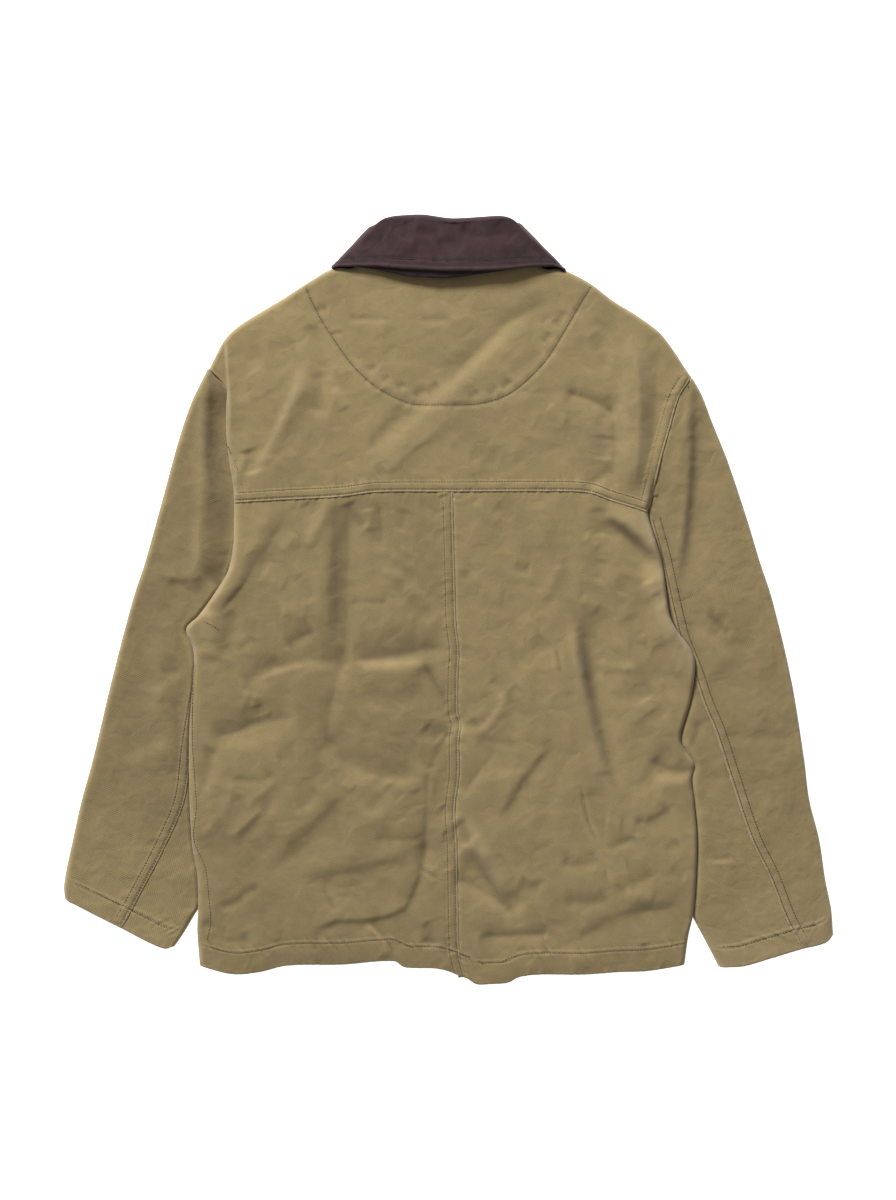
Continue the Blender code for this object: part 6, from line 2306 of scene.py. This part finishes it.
class JacketSewing:
    """All rows of stitches on the jacket's twill."""

    def __init__(self, form: JacketForm) -> None:
        """Starts with no rows."""
        self.form, self.sewing = form, Sewing(Stitch())

    def back(self) -> None:
        """The half-moon, the lapped and felled seams, the armhole and the hem."""
        form, row = self.form, self.sewing.row
        seam, centre, armhole = form.yoke_seam, form.centre_seam, form.right_edge
        band = form.yoke_band
        row(form.half_moon, lambda x, y: form.yoke_top(x, y) + 0.3)
        row(seam.beside(band.stitch_inset, 0.012, 0.985), form.yoke_top)
        row(seam.beside(band.width - 0.2, 0.012, 0.985), form.yoke_top)
        row(centre.beside(band.stitch_inset, 0.012, 0.998), form.back_left_top)
        row(centre.beside(band.width - 0.2, 0.014, 0.98), form.back_left_top)
        start, end = armhole.share_of(YOKE_RIGHT[1]), armhole.share_of(YOKE_RIGHT[-1]) - 0.012
        row(armhole.beside(band.stitch_inset + 0.2, start, end), form.yoke_top)
        row(armhole.beside(band.width, start, end), form.yoke_top)
        hem_left, hem_right = PlanLine(HEM_LEFT), PlanLine(HEM_RIGHT[::-1])
        row(hem_left.beside(form.back_hem.stitch_inset, 0.02, 0.985), form.back_left_top)
        row(hem_right.beside(form.back_hem.stitch_inset, 0.0, 0.985), form.back_right_top)
        for points in SIDE_SEWING:
            row(PlanLine(points, steps=6), form.back_left_top)

    def fronts(self) -> None:
        """The left front's edge and the hems of both fronts."""
        form, row = self.form, self.sewing.row
        edge = PlanLine([(OVERLAP - FRONT_EDGE_STITCH, HEM_Y + 4), (OVERLAP - FRONT_EDGE_STITCH, 280.0)])
        row(edge, form.left_front_under, up=-1)
        left, right = PlanLine(FRONT_HEM_LEFT), PlanLine(FRONT_HEM_RIGHT[::-1])
        row(left.beside(form.back_hem.stitch_inset, 0.02, 0.97), form.left_front_under, up=-1)
        row(right.beside(form.back_hem.stitch_inset, 0.1, 0.97), form.right_front_under, up=-1)

    def sleeve(self, sleeve: Sleeve) -> None:
        """A sleeve's felled back seam and its cuff, on both faces."""
        row, half = self.sewing.row, sleeve.half

        def raised(x: np.ndarray, y: np.ndarray) -> np.ndarray:
            """The top sleeve's face on its seam's band."""
            return sleeve.top(x, y) + sleeve.band.lift - 0.3

        def hemmed(x: np.ndarray, y: np.ndarray) -> np.ndarray:
            """The sleeve's upper face on its hem."""
            return sleeve.top(x, y) + sleeve.hem.lift - 0.3

        last = 0.99 if half > 0 else 0.86
        row(sleeve.seam.beside(-half * sleeve.band.stitch_inset, 0.01, last), raised)
        row(sleeve.seam.beside(-half * (sleeve.band.width - 0.2), 0.01, last), raised)
        inset = sleeve.hem.stitch_inset
        row(sleeve.cuff.beside(-half * inset, 0.03, 0.97), hemmed)
        row(sleeve.cuff.beside(-half * inset, 0.03, 0.97), sleeve.bottom, up=-1)

    def build(self, name: str, finish: ThreadFinish) -> bpy.types.Object:
        """Makes the mesh of all rows."""
        return dress(self.sewing.build(name, finish.material()), Slot.TWILL)


# --- The studio ----------------------------------------------------------------------------------


@dataclass(frozen=True)
class Studio:
    """A pale floor under soft light from beyond the collar, seen from straight above.

    The camera's height makes the picture's long side cover view_height on the cloth.
    """

    view_height: float = 1.2
    lens: float = 85.0
    sensor: float = 36.0
    cloth_height: float = 0.012
    key_place: Colour = (-2.9, 5.4, 3.35)
    key_size: float = 2.05
    key_power: float = 672.0
    sky: float = 0.27
    floor_glow: float = 0.95
    floor_reach: float = 6000.0

    def floor(self) -> bpy.types.Object:
        """A wide pale floor with a faint glow of its own, as a lit table has."""
        made, nodes, shader = new_material("pale floor", 0.9)
        soft = nodes.noise(nodes.add("ShaderNodeTexCoord").outputs["Object"], 3.0)
        nodes.tree.links.new(
            nodes.mix(soft, opaque((0.93, 0.93, 0.93)), opaque((0.95, 0.95, 0.95))),
            shader.inputs["Base Color"],
        )
        shader.inputs["Emission Color"].default_value = opaque((1.0, 1.0, 1.0))
        shader.inputs["Emission Strength"].default_value = self.floor_glow
        corners = self.floor_reach * np.array([
            (-1.0, -1.0, 0.0), (1.0, -1.0, 0.0), (1.0, 1.0, 0.0), (-1.0, 1.0, 0.0),
        ])
        return new_object("floor", corners, np.array([[0, 1, 2, 3]]), made)

    def light(self) -> None:
        """One large soft light beyond the collar, and an even sky."""
        lamp = bpy.data.lights.new("key", "AREA")
        lamp.shape, lamp.size, lamp.energy = "DISK", self.key_size, self.key_power
        key = bpy.data.objects.new("key", lamp)
        key.location = self.key_place
        key.rotation_mode = "QUATERNION"
        key.rotation_quaternion = key.location.to_track_quat("Z", "Y")
        key.visible_camera = False
        world = bpy.data.worlds.new("studio")
        world.use_nodes = True
        background = world.node_tree.nodes["Background"]
        background.inputs["Color"].default_value = opaque((1.0, 1.0, 1.0))
        background.inputs["Strength"].default_value = self.sky
        bpy.context.scene.world = world
        bpy.context.scene.collection.objects.link(key)

    def camera(self) -> None:
        """A camera straight above the jacket, with +Y up in the picture."""
        lens = bpy.data.cameras.new("camera")
        lens.lens, lens.sensor_width = self.lens, self.sensor
        made = bpy.data.objects.new("camera", lens)
        made.location = (0.0, 0.0, self.view_height * self.lens / self.sensor + self.cloth_height)
        bpy.context.scene.collection.objects.link(made)
        bpy.context.scene.camera = made

    def build(self) -> None:
        """Sets up the floor, the light, the camera and plain tones."""
        self.floor()
        self.light()
        self.camera()
        bpy.context.scene.view_settings.view_transform = "Standard"


def build_jacket(frame: dict) -> None:
    """Builds and dresses every piece of the jacket."""
    form = JacketForm(Cloth(), Loft())
    twill = TWILL_FINISH.material()
    left, right = body_sides(form)
    yoke = Yoke(form, left, right, Cut(0.50, 0.26, 0.0982))
    backs = (
        BackPanel(form, left, form.back_left_top, BAND_STOPS, Cut(0.28, 0.50, 0.1221)),
        BackPanel(form, right, form.back_right_top, PLAIN_STOPS, Cut(0.26, 0.50, 0.1095)),
    )
    fronts = (
        FrontPanel(form, left, form.left_front_under, Cut(0.30, 0.71, 0.1721)),
        FrontPanel(form, right, form.right_front_under, Cut(0.30, 0.71, 0.1679)),
    )
    sleeves = (
        Sleeve(
            form, "left", LEFT_SLEEVE, form.left_sleeve_top, form.left_sleeve_under,
            Cut(0.30, 0.62, 0.1138), Cut(0.22, 0.47, 0.0633), tone=-0.5,
        ),
        Sleeve(
            form, "right", RIGHT_SLEEVE, form.right_sleeve_top, form.right_sleeve_under,
            Cut(0.30, 0.62, 0.1132), Cut(0.22, 0.47, 0.0616),
        ),
    )
    collar = Collar(form, Cut(0.46, 0.11, 0.0365), Cut(0.46, 0.11, 0.0346))
    buttons = Buttons(tuple(f"button_{k + 1}" for k in range(5)), BUTTON_FINISH).dress(frame)

    sewing = JacketSewing(form)
    sewing.back()
    sewing.fronts()
    for sleeve in sleeves:
        sewing.sleeve(sleeve)
    stitches = sewing.build("sewing", KHAKI_THREAD)
    collar_rows = Sewing(Stitch(pitch=2.9))
    collar.sew(collar_rows)
    collar_stitches = dress(collar_rows.build("collar_sewing", COLLAR_THREAD.material()), Slot.COLLAR)

    tapes = [
        SeamTape("yoke_seam_tape", form.yoke_seam.part(0.04, 0.96, 200), form.body_top).build(twill),
        SeamTape("centre_seam_tape", form.centre_seam, form.body_top).build(twill),
        SeamTape(
            "armhole_seam_tape", PlanLine(YOKE_RIGHT).part(0.12, 0.97, 100), form.body_top,
            low_side=-5.0, high_side=5.0, depth=2.2,
        ).build(twill),
        SeamTape(
            "shoulder_seam_tape", PlanLine(SHOULDER_TAPE_LINE), form.shoulder_level,
            low_side=-3.5, high_side=5.0, depth=0.0,
        ).build(twill),
    ]
    lay(yoke.build(twill), yoke.cut, [stitches, *tapes])
    for panel in backs:
        lay(panel.build(twill), panel.cut)
    for panel, worn in zip(fronts, (buttons, [])):
        lay(panel.build(twill), panel.cut, worn)
    for sleeve in sleeves:
        top, under = sleeve.build(twill)
        lay(top, sleeve.top_cut)
        lay(under, sleeve.under_cut)
    top, under = collar.build(COLLAR_FINISH.material(), UNDER_COLLAR_FINISH.material())
    lay(top, collar.top_cut, [collar_stitches])
    lay(under, collar.under_cut)


def main() -> None:
    """Loads the frame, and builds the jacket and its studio."""
    logging.basicConfig(level=logging.INFO, format="%(message)s")
    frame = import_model()
    build_jacket(frame)
    Studio().build()
    meshes = [made.data for made in bpy.context.scene.objects if made.type == "MESH" and not made.hide_render]
    faces = sum(len(mesh.loops) - 2 * len(mesh.polygons) for mesh in meshes)
    log.info("%d triangles", faces)


if __name__ == "__main__":
    main()
